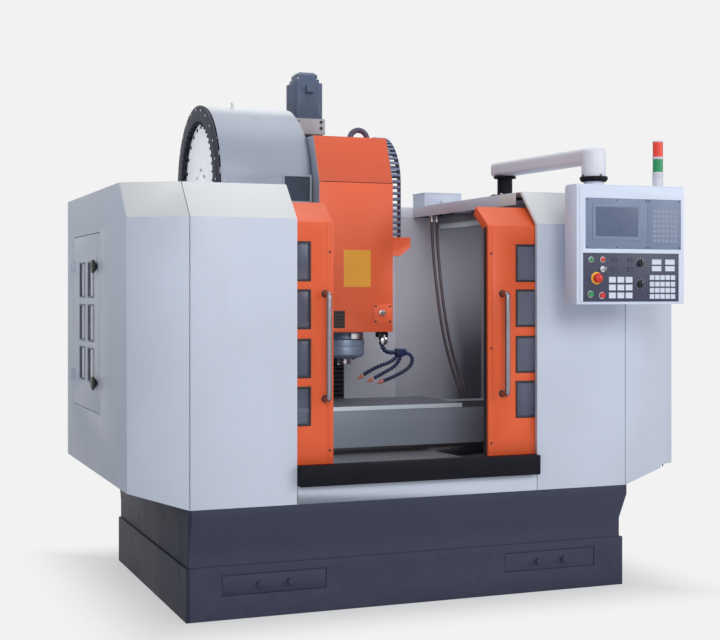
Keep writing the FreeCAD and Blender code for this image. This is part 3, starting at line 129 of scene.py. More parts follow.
class Finish:
    # a material under way; its shader is the Principled one
    def __init__(self, name, roughness, metallic=0.0):
        self.material = bpy.data.materials.new(name)
        self.material.use_nodes = True
        self.tree = self.material.node_tree
        self.shader = self.tree.nodes["Principled BSDF"]
        self.set("Roughness", roughness)
        self.set("Metallic", metallic)

    def add(self, kind, settings=None, values=None, out=0):
        node = self.tree.nodes.new(kind)
        for name, setting in (settings or {}).items():
            setattr(node, name, setting)
        for name, value in (values or {}).items():
            self.give(node.inputs[name], value)
        return Reading(self, node.outputs[out])

    def give(self, socket, value):
        if isinstance(value, Reading):
            self.tree.links.new(value.socket, socket)
        else:
            socket.default_value = value

    def set(self, name, value):
        self.give(self.shader.inputs[name], value)

    def place(self, scale=(1, 1, 1), turn=(0, 0, 0)):
        spot = self.add("ShaderNodeTexCoord").part("Object")
        return self.add("ShaderNodeMapping", None, {"Vector": spot, "Scale": scale, "Rotation": turn})

    def noise(self, scale, detail=2.0, rough=0.5, stretch=(1, 1, 1), turn=(0, 0, 0)):
        return self.add("ShaderNodeTexNoise", None, {"Vector": self.place(stretch, turn), "Scale": scale,
                                                     "Detail": detail, "Roughness": rough})

    def mix(self, share, first, second):
        return self.add("ShaderNodeMix", {"data_type": "RGBA"}, {0: share, 6: first, 7: second}, 2)

    def axis(self, letter):
        return self.add("ShaderNodeSeparateXYZ", None, {0: self.place()}, "XYZ".index(letter))

    def above(self, letter, edge):
        return self.axis(letter) > edge

    def below(self, letter, edge):
        return (0.0 - self.axis(letter)) > -edge

    def bump(self, shape, depth, strength):
        values = {"Height": shape, "Distance": depth, "Strength": strength}
        self.set("Normal", self.add("ShaderNodeBump", None, values))


def shade(colour, factor):
    return (*[min(1.0, channel * factor) for channel in colour[:3]], 1.0)


# finishes: each kind works on a new material, its base colour and its roughness
def enamel(finish, base, roughness, peel=0.00004, dust=0.05, coat=0.0, zones=None, shine=0.5):
    # sprayed enamel: cloudy tone, orange peel, handling marks and floor dust
    cloud = finish.noise(1.7, 4)
    marks = finish.noise(9, 6, 0.65, (1, 1, 0.35)).band(0.52, 0.74)
    tone = finish.mix(cloud.band(0.3, 0.7), shade(base, 0.965), shade(base, 1.03))
    tone = finish.mix(marks * 0.10, tone, shade(base, 0.8))
    low = finish.axis("Z").band(0.0, 0.55, 1.0, 0.0) * finish.noise(22, 5).band(0.35, 0.75)
    tone = finish.mix(low * dust * 4, tone, fromSrgb((136, 134, 132)))
    # zone colours over the tone, painted light and shade except the head's grey flank
    for share, other in zones(finish) if zones else ():
        tone = finish.mix(share, tone, fromSrgb(other))
    finish.set("Base Color", tone)
    finish.set("Specular IOR Level", shine)
    finish.set("Roughness", cloud.band(0.3, 0.7, roughness - 0.05, roughness + 0.05) + marks * 0.12)
    finish.set("Coat Weight", coat)
    finish.set("Coat Roughness", 0.12)
    finish.bump(finish.noise(420, 1.5), peel, 0.6)


def castEnamel(finish, base, roughness):
    # filled and painted iron: broad waves under a pebbled skin
    waves = finish.noise(14, 3)
    pebble = finish.add("ShaderNodeTexVoronoi", None, {"Vector": finish.place(), "Scale": 260})
    oil = finish.noise(6, 5, stretch=(1, 1, 0.3)).band(0.5, 0.8)
    tone = finish.mix(waves, shade(base, 0.94), shade(base, 1.04))
    finish.set("Base Color", finish.mix(oil * 0.35, tone, fromSrgb((92, 88, 80))))
    finish.set("Roughness", roughness - oil * 0.15)
    finish.bump(waves * 0.7 + pebble * 0.3, 0.0008, 0.5)


def bareMetal(finish, base, roughness, lay=(1, 60, 60), stain=0.1, depth=0.00002):
    # cut or ground metal with its lay along one axis
    lines = finish.noise(12, 3, 0.7, lay)
    stains = finish.noise(16, 6, 0.7).band(0.55, 0.8)
    tone = finish.mix(finish.noise(5, 4).band(0.3, 0.7), shade(base, 0.9), shade(base, 1.06))
    tone = finish.mix(stains * stain, tone, shade(base, 0.45))
    finish.set("Base Color", finish.mix(lines * 0.35, tone, shade(base, 0.78)))
    finish.set("Roughness", lines.band(0.3, 0.7, roughness - 0.08, roughness + 0.1) + stains * 0.1)
    finish.bump(lines, depth, 0.7)


def turnedMetal(finish, base, roughness):
    # rings left by the lathe, about an upright axis
    rings = finish.add("ShaderNodeTexNoise", {"noise_dimensions": "1D"},
                       {"W": finish.axis("Z") * 900, "Scale": 1.0, "Detail": 2.0})
    finish.set("Base Color", finish.mix(finish.noise(18, 4).band(0.3, 0.75), shade(base, 0.88), shade(base, 1.05)))
    finish.set("Roughness", rings.band(0.3, 0.7, roughness - 0.07, roughness + 0.1))
    finish.bump(rings, 0.00003, 0.6)


def slotTable(finish, base, roughness, edge):
    # ground top, whose milled front edge is painted near-white as a highlight
    lines = finish.noise(12, 3, 0.7, (1, 90, 90))
    stains = finish.noise(12, 6, 0.7).band(0.5, 0.8)
    tone = finish.mix(stains * 0.3, finish.mix(lines * 0.3, base, shade(base, 0.8)), shade(base, 0.5))
    milledEdgeHighlight = finish.below("Y", -0.1805) * finish.above("Z", 0.8485)
    finish.set("Base Color", finish.mix(milledEdgeHighlight, tone, fromSrgb(edge)))
    finish.set("Metallic", 0.75 - milledEdgeHighlight * 0.7)
    finish.set("Roughness", lines.band(0.3, 0.7, roughness - 0.08, roughness + 0.08))
    finish.bump(lines, 0.00002, 0.7)


def moulded(finish, base, roughness, grain=0.00005, glow=0.0, scale=900):
    # moulded plastic with a fine spark-eroded grain
    skin = finish.noise(scale)
    finish.set("Base Color", finish.mix(finish.noise(12, 3), shade(base, 0.93), shade(base, 1.07)))
    finish.set("Roughness", skin.band(0.3, 0.7, roughness - 0.05, roughness + 0.08))
    if glow:
        finish.set("Emission Color", base)
        finish.set("Emission Strength", glow)
    finish.bump(skin, grain, 0.5)


def smokePane(finish, base, roughness, clear, streak=0.25):
    # polycarbonate: partly see-through, with wiped streaks of coolant
    wiped = finish.noise(13, 5, 0.6, (1, 1, 0.25), (0, 0.5, 0)).band(0.42, 0.75)
    finish.set("Base Color", finish.mix(wiped * streak, base, shade(base, 2.4)))
    finish.set("Roughness", roughness + wiped * 0.22)
    finish.set("Alpha", 1.0 - clear + wiped * clear * 0.3)


def pleatedCloth(finish, base, roughness):
    weave = finish.add("ShaderNodeTexWave", {"bands_direction": "X"},
                       {"Vector": finish.place(), "Scale": 300.0, "Distortion": 1.5, "Detail": 1.0})
    dust = finish.noise(7, 5).band(0.45, 0.8)
    finish.set("Base Color", finish.mix(dust * 0.5, base, fromSrgb((88, 90, 96))))
    finish.set("Roughness", roughness + dust * 0.2)
    finish.bump(weave, 0.0002, 0.5)


def softRubber(finish, base, roughness):
    bloom = finish.noise(30, 5).band(0.4, 0.8)
    finish.set("Base Color", finish.mix(bloom * 0.5, base, shade(base, 1.9)))
    finish.set("Roughness", roughness + bloom * 0.15)
    finish.bump(finish.noise(500), 0.0001, 0.4)


# zone colours: band, shade, upper and crown are painted light and shade, end is painted shade at the plinth's left
# end, and flank is the head's own grey side
zonePaint = {"band": (216, 218, 219), "shade": (120, 130, 152), "upper": (206, 88, 58), "flank": (160, 167, 181),
             "crown": (240, 243, 247), "end": (15, 16, 24)}


def panelLightAndShade(finish):
    # painted light and shade: the bands that lean back at the top are painted lighter and warmer for the light they
    # face, and the far side is painted greyer towards the floor as shade
    paintedLightBand = (finish.above("Z", 1.7706) * finish.below("Z", 1.9325) * finish.below("Y", -0.4)
               * finish.above("X", -1.3365) * finish.below("X", 1.5015))
    low = finish.axis("Z").band(0.5, 1.8, 0.42, 0.0) * finish.below("X", -1.336)
    return (paintedLightBand, zonePaint["band"]), (low, zonePaint["shade"])


def headZones(finish):
    # the upper cover, leaning back under the top lamp, is painted a deeper orange as shade; the left flank carries the
    # colour of the magazine cover
    flank = finish.below("X", -0.2035) * finish.above("Z", 1.6)
    return (finish.above("Z", 2.0135) * 0.6, zonePaint["upper"]), (flank, zonePaint["flank"])


def crownZones(finish):
    # a painted highlight: a paler crown along the top of the magazine cover
    return (finish.axis("Z").band(2.36, 2.425, 0.0, 0.85), zonePaint["crown"]),


def plinthZones(finish):
    # the left end lies in its own shade
    return (finish.below("X", -1.085) * 0.5, zonePaint["end"]),


# every finish by kind: colour, roughness and what else its kind takes
palette = {
    enamel: {
        "panelPaint": ((203, 211, 226), 0.42, {"zones": panelLightAndShade}),
        "plinthPaint": ((64, 68, 86), 0.55, {"dust": 0.01, "shine": 0.12, "zones": plinthZones}),
        "orangePaint": ((232, 96, 50), 0.42, {"coat": 0.05, "shine": 0.35}),
        "headPaint": ((250, 110, 70), 0.45, {"coat": 0.05, "zones": headZones, "shine": 0.35}),
        "blackPaint": ((15, 16, 24), 0.55, {"dust": 0.005, "shine": 0.14}),
        "chamberPaint": ((176, 180, 192), 0.45), "guardPaint": ((140, 150, 164), 0.42),
        "magazinePaint": ((160, 167, 181), 0.4, {"zones": crownZones}),
        "consolePaint": ((212, 222, 240), 0.42), "armPaint": ((226, 228, 238), 0.42),
        "motorPaint": ((74, 90, 116), 0.45), "platePaint": ((255, 180, 62), 0.3, {"peel": 0.00001})},
    castEnamel: {"castingPaint": ((178, 177, 186), 0.5)},
    bareMetal: {
        "stainless": ((182, 184, 188), 0.32),
        "steel": ((190, 192, 198), 0.3, {"lay": (40, 40, 2), "stain": 0.12}),
        "brightSteel": ((214, 216, 222), 0.22, {"lay": (30, 30, 30), "stain": 0.05}),
        "satinChrome": ((150, 144, 152), 0.3, {"lay": (30, 30, 2), "stain": 0.12})},
    turnedMetal: {"turnedSteel": ((158, 178, 204), 0.42)},
    slotTable: {"tableIron": ((120, 124, 138), 0.42, {"edge": (216, 228, 238)})},
    moulded: {
        # the disc's glow is painted light; the disc is no lamp
        "discPaint": ((252, 252, 255), 0.38, {"glow": 0.22}),
        "lampBody": ((118, 138, 152), 0.4), "lampLens": ((176, 200, 206), 0.25, {"glow": 0.1, "scale": 200}),
        "blackPlastic": ((28, 28, 32), 0.42), "potPlastic": ((30, 34, 54), 0.6), "toothPlastic": ((24, 27, 40), 0.6),
        "bezelPlastic": ((118, 132, 158), 0.45, {"scale": 600}),
        "operatorFilm": ((54, 58, 82), 0.45, {"scale": 700}),
        "whiteKeys": ((212, 219, 234), 0.45), "greyKeys": ((140, 148, 170), 0.45), "darkKeys": ((52, 56, 74), 0.45),
        "redPlastic": ((214, 40, 34), 0.28), "greenPlastic": ((26, 140, 84), 0.3),
        "redLens": ((226, 60, 46), 0.18, {"glow": 0.12, "scale": 200}),
        "greenLens": ((22, 140, 88), 0.18, {"glow": 0.08, "scale": 200}),
        "palePlastic": ((212, 212, 222), 0.38), "nozzleBlue": ((34, 46, 86), 0.3),
        "nozzleTip": ((226, 134, 112), 0.35), "chainPlastic": ((112, 124, 152), 0.4),
        "screenGlass": ((72, 86, 114), 0.14, {"grain": 0.000005, "glow": 0.15, "scale": 60})},
    smokePane: {
        "doorPane": ((90, 95, 118), 0.08, {"clear": 0.38}),
        "sidePane": ((150, 157, 170), 0.08, {"clear": 0.05, "streak": 0.3}),
        "darkPane": ((52, 62, 84), 0.08, {"clear": 0.12})},
    softRubber: {"rubber": ((24, 24, 27), 0.5), "greySeal": ((126, 134, 148), 0.7),
                 "hoseRubber": ((58, 48, 56), 0.42), "loopRubber": ((74, 68, 96), 0.5)},
    pleatedCloth: {"cloth": ((30, 31, 35), 0.62)},
}
metalShare = {bareMetal: 1.0, turnedMetal: 0.35}
finishes = {}
for kind, rows in palette.items():
    for name, (colour, roughness, *more) in rows.items():
        finish = Finish(name, roughness, metalShare.get(kind, 0.0))
        kind(finish, fromSrgb(colour), roughness, **(more[0] if more else {}))
        finishes[name] = finish.material
print("finishes", len(finishes))

# the CAD slot of a finish, where its own name doesn't give it
slotFor = {"rubber": "black_plastic", "greySeal": "black_plastic", "darkKeys": "black_plastic",
           "orangePaint": "door_paint", "platePaint": "door_paint", "headPaint": "door_paint",
           "brightSteel": "chrome", "nozzleTip": "red_plastic", "loopRubber": "hose_rubber",
           "toothPlastic": "pot_plastic", "darkPane": "door_pane", "bezelPlastic": "keypad_plastic",
           "screenGlass": "keypad_plastic", "operatorFilm": "keypad_plastic", "greyKeys": "keypad_plastic",
           "whiteKeys": "console_paint", "greenLens": "lens_plastic", "redLens": "lens_plastic",
           "lampLens": "lens_plastic", "cloth": "bellows_cloth"}


# modelling helpers around bpy.ops; lengths are in millimetres from here on, unless a note says metres
upward, downward, forward, rightward, leftward = (0, 0, 1), (0, 0, -1), (0, -1, 0), (1, 0, 0), (-1, 0, 0)


def at(x, y, z):
    # millimetres to metres
    return (x / 1000, y / 1000, z / 1000)


def boxOf(node):
    low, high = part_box(node)
    return low * 1000, high * 1000


def named(piece, name):
    piece.name = name
    piece.data.name = name
    return piece


def alone(piece):
    bpy.ops.object.select_all(action="DESELECT")
    piece.select_set(True)
    bpy.context.view_layer.objects.active = piece
    return piece


def settle(piece, name):
    alone(named(piece, name))
    bpy.ops.object.transform_apply(location=True, rotation=True, scale=True)
    return piece


def startBox(name, low, high, soft=0.0, segments=2):
    low, high = at(*low), at(*high)
    bpy.ops.object.select_all(action="DESELECT")
    bpy.ops.mesh.primitive_cube_add(size=1, location=[(a + b) / 2 for a, b in zip(low, high)])
    piece = bpy.context.object
    piece.scale = [abs(b - a) for a, b in zip(low, high)]
    settle(piece, name)
    return rounded(piece, soft, segments) if soft else piece


def startRod(name, start, end, radius, sides=32):
    start, end, radius = Vector(at(*start)), Vector(at(*end)), radius / 1000
    line = end - start
    bpy.ops.object.select_all(action="DESELECT")
    bpy.ops.mesh.primitive_cone_add(vertices=sides, radius1=radius, radius2=radius, depth=line.length,
                                    location=(start + end) / 2, rotation=line.to_track_quat("Z", "Y").to_euler())
    return settle(bpy.context.object, name)


def revolved(name, base, axis, profile, sides):
    # a circle, extruded and resized from ring to ring; profile is (radius, distance along axis); all in metres
    bpy.ops.object.select_all(action="DESELECT")
    radius, along = profile[0]
    bpy.ops.mesh.primitive_circle_add(vertices=sides, radius=radius, fill_type="NGON", location=(0, 0, along))
    piece = bpy.context.object
    alone(piece)
    bpy.ops.object.transform_apply(location=True)
    bpy.ops.object.mode_set(mode="EDIT")
    bpy.ops.mesh.select_all(action="SELECT")
    for nextRadius, nextAlong in profile[1:]:
        bpy.ops.mesh.extrude_region_move(TRANSFORM_OT_translate={"value": (0, 0, nextAlong - along)})
        share = nextRadius / radius
        bpy.ops.transform.resize(value=(share, share, 1), center_override=(0, 0, nextAlong))
        radius, along = nextRadius, nextAlong
    bpy.ops.mesh.select_all(action="SELECT")
    outwards()
    bpy.ops.object.mode_set(mode="OBJECT")
    piece.rotation_euler = Vector(axis).to_track_quat("Z", "Y").to_euler()
    piece.location = base
    return settle(piece, name)


def startTurned(name, base, axis, profile, sides=48):
    return revolved(name, at(*base), axis, [(radius / 1000, along / 1000) for radius, along in profile], sides)


def strung(name, kind, places, steps=1):
    # a curve through places in metres
    curve = bpy.data.curves.new(name, "CURVE")
    curve.dimensions = "3D"
    spline = curve.splines.new(kind)
    spline.points.add(len(places) - 1)
    for point, place in zip(spline.points, places):
        point.co = (*place, 1)
    if kind == "NURBS":
        spline.order_u = 3
        spline.use_endpoint_u = True
        spline.resolution_u = steps
    return curve


def piped(name, curve, radius, sides):
    # a round bar along a curve, closed at both ends
    curve.bevel_depth = radius / 1000
    curve.bevel_resolution = sides
    curve.use_fill_caps = True
    piece = bpy.data.objects.new(name, curve)
    bpy.context.collection.objects.link(piece)
    alone(piece)
    bpy.ops.object.convert(target="MESH")
    return bpy.context.object


def startPipe(name, points, radius, corner, steps=5, sides=4):
    # a round bar bent through the points, with arcs of a given radius at its corners
    corners = [Vector(at(*point)) for point in points]
    path = [corners[0]]
    for before, here, after in zip(corners, corners[1:], corners[2:]):
        into, out = (here - before).normalized(), (after - here).normalized()
        half = into.angle(out) / 2
        reach = min(corner / 1000 * math.tan(half), 0.48 * (here - before).length, 0.48 * (after - here).length)
        first, last = here - into * reach, here + out * reach
        for step in range(steps + 1):
            share = step / steps
            path.append(first.lerp(here, share).lerp(here.lerp(last, share), share))
    path.append(corners[-1])
    piece = piped(name, strung(name, "POLY", path), radius, sides)
    return inEdit(piece, None, lambda: bpy.ops.mesh.remove_doubles(threshold=0.00001), outwards)


def inEdit(piece, wanted, *actions):
    # selects the wanted faces, or all, and runs edit-mode operators on them
    alone(piece)
    bpy.ops.object.mode_set(mode="EDIT")
    bpy.ops.mesh.select_mode(type="FACE")
    bpy.ops.mesh.select_all(action="SELECT" if wanted is None else "DESELECT")
    if wanted is not None:
        bpy.ops.object.mode_set(mode="OBJECT")
        for face in piece.data.polygons:
            face.select = bool(wanted(face))
        bpy.ops.object.mode_set(mode="EDIT")
    for action in actions:
        action()
    bpy.ops.object.mode_set(mode="OBJECT")
    return piece


def facing(direction):
    # picks the faces that look along a direction
    return lambda face: face.normal.dot(Vector(direction)) > 0.9


def outwards():
    bpy.ops.mesh.normals_make_consistent(inside=False)


def inset(thickness, depth=0.0):
    return lambda: bpy.ops.mesh.inset(thickness=thickness / 1000, depth=depth / 1000)


def pushed(*way):
    return lambda: bpy.ops.mesh.extrude_region_move(TRANSFORM_OT_translate={"value": at(*way)})


def resized(share, centre=(0, 0, 0)):
    return lambda: bpy.ops.transform.resize(value=share, center_override=at(*centre))


def cutAt(point, normal, **cleared):
    return lambda: bpy.ops.mesh.bisect(plane_co=at(*point), plane_no=normal, use_fill=True, **cleared)


def openEnds(piece):
    # takes both end discs off a ring about the X axis and joins their rims
    inEdit(piece, lambda face: abs(face.normal.x) > 0.9 and face.area > 0.1, lambda: bpy.ops.mesh.delete(type="FACE"))
    return inEdit(piece, lambda face: False, lambda: bpy.ops.mesh.select_mode(type="EDGE"),
                  lambda: bpy.ops.mesh.select_non_manifold(), lambda: bpy.ops.mesh.bridge_edge_loops(),
                  lambda: bpy.ops.mesh.select_mode(type="FACE"), lambda: bpy.ops.mesh.select_all(action="SELECT"),
                  outwards)


def modified(piece, kind, **settings):
    modifier = piece.modifiers.new(kind.lower(), kind)
    for name, setting in settings.items():
        setattr(modifier, name, setting)
    alone(piece)
    bpy.ops.object.modifier_apply(modifier=modifier.name)
    return piece


def rounded(piece, width, segments=2, angle=40):
    return modified(piece, "BEVEL", width=width / 1000, segments=segments, limit_method="ANGLE",
                    angle_limit=math.radians(angle), use_clamp_overlap=True)


def copied(piece, shift):
    # shift is a matrix, or a vector in metres
    twin = bpy.data.objects.new(piece.name + "Copy", piece.data.copy())
    bpy.context.collection.objects.link(twin)
    twin.data.transform(shift if isinstance(shift, Matrix) else Matrix.Translation(Vector(shift)))
    return twin


def joined(name, pieces):
    alone(pieces[0])
    for piece in pieces[1:]:
        piece.select_set(True)
    bpy.ops.object.join()
    return named(pieces[0], name)


def repeated(piece, shifts):
    # the piece itself and a copy of it at each shift, as one piece
    return joined(piece.name, [piece] + [copied(piece, shift) for shift in shifts])


def turnedAbout(piece, centre, axis, turns):
    there, back = Matrix.Translation(Vector(at(*centre))), Matrix.Translation(-Vector(at(*centre)))
    return repeated(piece, [there @ Matrix.Rotation(turn, 4, Vector(axis)) @ back for turn in turns])


def around(piece, count, centre, axis):
    return turnedAbout(piece, centre, axis, [math.tau * i / count for i in range(1, count)])


def pressed(node, name, width=0.0):
    # a merged copy of a CAD node's mesh, with its folds and edges rounded
    piece = bpy.data.objects.new(name, frame["nodes"][node].data.copy())
    piece.data.name = name
    bpy.context.collection.objects.link(piece)
    alone(piece)
    bpy.ops.mesh.customdata_custom_splitnormals_clear()
    inEdit(piece, None, lambda: bpy.ops.mesh.remove_doubles(threshold=0.00002),
           lambda: bpy.ops.mesh.dissolve_limited(angle_limit=math.radians(0.6)))
    return rounded(piece, width) if width else piece


def split(node, height, upperName, lowerName, upperSoft, lowerSoft):
    # a CAD node's mesh cut in two at a height, each part closed there and rounded
    parts = []
    for name, upper, soft in ((upperName, True, upperSoft), (lowerName, False, lowerSoft)):
        cut = cutAt((0, 0, height), upward, clear_inner=upper, clear_outer=not upper)
        parts.append(rounded(inEdit(pressed(node, name), None, cut), soft))
    return parts


def panHeads(name, places, outward, radius=6, proud=3):
    # pan-head screws, each with its cross recess left plain
    profile = [(radius, -0.5), (radius, proud * 0.4), (radius * 0.75, proud * 0.85), (radius * 0.3, proud),
               (radius * 0.28, proud * 0.5)]
    first = startTurned(name, places[0], outward, profile, 14)
    spots = [Vector(at(*place)) for place in places]
    return repeated(first, [spot - spots[0] for spot in spots[1:]])


def frameRing(name, low, high, along, width):
    # a box opened from side to side along one axis, as a gasket or a bezel
    return inEdit(startBox(name, low, high), lambda face: abs(face.normal[along]) > 0.9, inset(width),
                  lambda: bpy.ops.mesh.bridge_edge_loops())


def painted(piece, finish, angle):
    piece.data.materials.clear()
    piece.data.materials.append(finishes[finish])
    if angle:
        alone(piece)
        bpy.ops.object.shade_smooth_by_angle(angle=math.radians(angle))


def ownSlot(finish):
    plain = "".join("_" + letter.lower() if letter.isupper() else letter for letter in finish)
    return slotFor.get(finish, plain)


bodyOf = {node: body for body, nodes in record["behaviour"]["bodies"].items() for node in nodes}


def standIn(piece, node, finish, angle=38):
    # the piece takes the place of its CAD node
    painted(piece, finish, angle)
    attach(piece, bodyOf[node])
    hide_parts(node)


def added(piece, node, finish, slot=None, angle=38):
    # a detail that goes with a CAD node and has a finish of its own
    painted(piece, finish, angle)
    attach(piece, bodyOf[node])
    slot or ownSlot(finish)


def spanning(piece, finish, node=None, angle=None):
    # a piece that reaches from one body to another
    painted(piece, finish, angle)
    ownSlot(finish)
    if node:
        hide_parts(node)


setCamera()

# folded sheet, castings and other nodes whose CAD shape is right: edges rounded, then painted
pressings = {
    "plinth": ("plinthPaint", 4), "front_panel_left": ("panelPaint", 1.3), "front_panel_right": ("panelPaint", 1.3),
    "side_panel_left": ("panelPaint", 1.3), "side_panel_right": ("panelPaint", 1.3),
    "roof_and_rear_panels": ("panelPaint", 1), "doorway_sill": ("blackPaint", 3), "chamber_walls": ("chamberPaint", 1),
    "chip_tray": ("stainless", 0.8), "bed_casting": ("castingPaint", 6), "guide_rails": ("steel", 2),
    "levelling_feet": ("steel", 1.5), "column_casting": ("castingPaint", 8), "magazine_frame": ("castingPaint", 4),
    "magazine_cover": ("magazinePaint", 1), "cabinet": ("panelPaint", 1), "cabinet_door": ("panelPaint", 1),
    "arm_post": ("blackPaint", 2), "side_door": ("panelPaint", 1.2), "left_door": ("orangePaint", 1.4),
    "right_door": ("orangePaint", 1.4), "saddle": ("castingPaint", 4), "way_guard": ("guardPaint", 1),
    "way_cover_rear": ("stainless", 0.6), "way_cover_middle": ("stainless", 0.6), "table": ("tableIron", 2),
    "head_casting": ("castingPaint", 5), "head_cover": ("headPaint", 1.4), "z_screw": ("steel", 1),
    "console_box": ("consolePaint", 4), "plinth_hatch_left": ("plinthPaint", 1),
    "plinth_hatch_right": ("plinthPaint", 1),
}
for node, (finish, width) in pressings.items():
    standIn(pressed(node, node + "_pressed", width), node, finish)
print("pressed nodes", len(pressings))

# panes: smoked sheets with a rubber seal round each
seal = {"width": 9, "proud": 3.5, "rows": ((841, 1018), (1056, 1233), (1276, 1455), (1491, 1671))}
doors = {"left": {"window": (-1003, -530), "edge": (-449, -423), "gasketX": -423, "screwX": -440, "handleX": -463},
         "right": {"window": (505, 930), "edge": (358, 384), "gasketX": 358, "screwX": 374, "handleX": 432}}
edgeStrip = {"z": (655, 1756), "lean": (0, 122, 91), "screwZ": (727, 1176, 1625), "gasketZ": (652, 1752),
             "gasketY": (14, 44)}
handle = {"low": 960.5, "high": 1435.5, "stand": 58, "bend": 20, "radius": 12.5}
face = boxOf("left_door")[0].y
for side, door in doors.items():
    node = side + "_door"
    standIn(pressed(node + "_glass", side + "DoorPanes", 0.6), node + "_glass", "doorPane")
    x0, x1 = door["window"]
    seals = [frameRing("seal", (x0, face - seal["proud"], z0), (x1, face + 3, z1), 1, seal["width"])
             for z0, z1 in seal["rows"]]
    added(rounded(joined(side + "DoorSeals", seals), 1.4), node, "rubber")

    # cover strip down the inner edge, following the slope at the top
    (x0, x1), (z0, z1) = door["edge"], edgeStrip["z"]
    strip = startBox(side + "EdgeStrip", (x0, face - 1.8, z0), (x1, face + 0.2, z1))
    added(rounded(inEdit(strip, facing(upward), pushed(*edgeStrip["lean"])), 0.7), node, "orangePaint")
    places = [(door["screwX"], face - 1.8, z) for z in edgeStrip["screwZ"]]
    added(panHeads(side + "EdgeScrews", places, forward, 5.5), node, "blackPlastic")
    x, (y0, y1), (z0, z1) = door["gasketX"], edgeStrip["gasketY"], edgeStrip["gasketZ"]
    added(startBox(side + "Gasket", (x - 0.9, face + y0, z0), (x + 0.9, face + y1, z1)), node, "rubber")

    # bow handle bent from one bar, with a dark washer under each foot
    x, low, high, far = door["handleX"], handle["low"], handle["high"], face - handle["stand"]
    bar = startPipe(side + "Handle", [(x, face + 0.5, low), (x, far, low), (x, far, high), (x, face + 0.5, high)],
                    handle["radius"], handle["bend"], 7, 6)
    standIn(bar, node + "_handle", "satinChrome")
    washers = [startTurned("washer", (x, face, z), forward, [(17, -0.5), (17, 2.2), (15.5, 3.2), (12.6, 3.2)], 28)
               for z in (low, high)]
    added(joined(side + "HandleWashers", washers), node, "blackPlastic")
print("doors", len(doors))

# side door: seals, panes and turned grips
sideDoor = {"columns": ((152, 318), (404, 558)), "rows": ((994, 1166), (1195, 1382), (1414, 1595)),
            "sealProud": 5.5, "sealWidth": 8, "gripY": 72, "tongueY": (12, 84), "tongueHalf": 10}
x = boxOf("side_door_glass")[0].x
seals = [frameRing("seal", (x - sideDoor["sealProud"], y0, z0), (x, y1, z1), 0, sideDoor["sealWidth"])
         for y0, y1 in sideDoor["columns"] for z0, z1 in sideDoor["rows"]]
added(rounded(joined("sideDoorSeals", seals), 1.4), "side_door", "greySeal")
standIn(pressed("side_door_glass", "sideDoorPanes", 0.5), "side_door_glass", "sidePane")
half, (y0, y1) = sideDoor["tongueHalf"], sideDoor["tongueY"]
for node in ("side_knob_low", "side_knob_high"):
    low, high = boxOf(node)
    x, z = high.x, (low.z + high.z) / 2
    grip = startTurned(node + "_grip", (x - 0.5, sideDoor["gripY"], z), leftward,
                       [(7.8, 0), (7.8, 22), (16, 22.5), (22, 27), (33.5, 34), (33.5, 42), (28, 46.5), (12, 47.2),
                        (11, 45.5)], 40)
    tongue = startBox("tongue", (x - 5, y0, z - half), (x, y1, z + half), 1)
    standIn(joined(node + "_turned", [rounded(grip, 1.2), tongue]), node, "blackPlastic")
print("side door")

# seams of the folded panels, thin strips just proud of the sheet: at the corner folds they are painted crease shade,
# darker on the left than on the right; low on the front they are joints
seam = {"corners": {"left": (-1094.5, 2.6, "rubber"), "right": (1094.5, 3.4, "greySeal")}, "z": (497, 1770),
        "lean": (0, 158, 164), "strips": (-604, 604), "stripZ": (498, 576)}
face, (z0, z1) = boxOf("front_panel_left")[0].y, seam["z"]
for side, (x, wide, finish) in seam["corners"].items():
    line = startBox(side + "FoldCreaseShade", (x - wide / 2, face - 0.6, z0), (x + wide / 2, face + 0.4, z1))
    added(inEdit(line, facing(upward), pushed(*seam["lean"])), "front_panel_" + side, finish)
z0, z1 = seam["stripZ"]
strips = [startBox("stripSeam", (x - 1.2, face - 0.5, z0), (x + 1.2, face + 0.4, z1)) for x in seam["strips"]]
added(joined("stripSeams", strips), "front_panel_left", "rubber")

# right side: louvres and the screws of the lift-off panel
rightSide = {"y": (120, 420), "z": (700, 868), "pitch": 24, "screwY": (-500, 880),
             "screwZ": (540, 840, 1140, 1440, 1730)}
x = boxOf("side_panel_right")[1].x
(y0, y1), (z0, z1) = rightSide["y"], rightSide["z"]
vents = [startBox("ventBack", (x - 0.3, y0 - 14, z0 - 12), (x + 1.2, y1 + 14, z1 + 8), 0.5)]
for z in range(z0, z1, rightSide["pitch"]):
    vent = startBox("vent", (x + 0.6, y0, z), (x + 4.5, y1, z + 13))
    vents.append(rounded(inEdit(vent, facing(upward), resized((0.2, 1, 1), (x, 0, 0))), 0.8))
added(joined("sideLouvres", vents), "side_panel_right", "panelPaint")
places = [(x, y, z) for y in rightSide["screwY"] for z in rightSide["screwZ"]]
added(panHeads("sideScrews", places, rightward, 7), "side_panel_right", "steel")

# shelf that closes the left side bay at the height of the low chamber wall, and wedges over the sloping trays
shelf = {"low": (-1334, -622, 842), "high": (-1046, 700, 844), "lip": (12, 0, -4)}
plate = inEdit(startBox("sideShelf", shelf["low"], shelf["high"]), facing(rightward), pushed(*shelf["lip"]))
added(rounded(plate, 0.6), "chamber_walls", "chamberPaint")
wedges = {"bed": 400, "wall": 1047, "low": 590, "high": 640, "y": (700.4, 702.4)}
rise = (wedges["high"] - wedges["low"]) / (wedges["wall"] - wedges["bed"])
y0, y1 = wedges["y"]
for side in (1, -1):
    x0, x1 = sorted((side * wedges["bed"], side * wedges["wall"]))
    wedge = startBox("rearWedge", (x0, y0, wedges["low"]), (x1, y1, wedges["high"] + 2))
    inEdit(wedge, None, cutAt((side * wedges["bed"], 0, wedges["low"] + 1), (-side * rise, 0, 1), clear_inner=True))
    added(wedge, "chamber_walls", "chamberPaint")

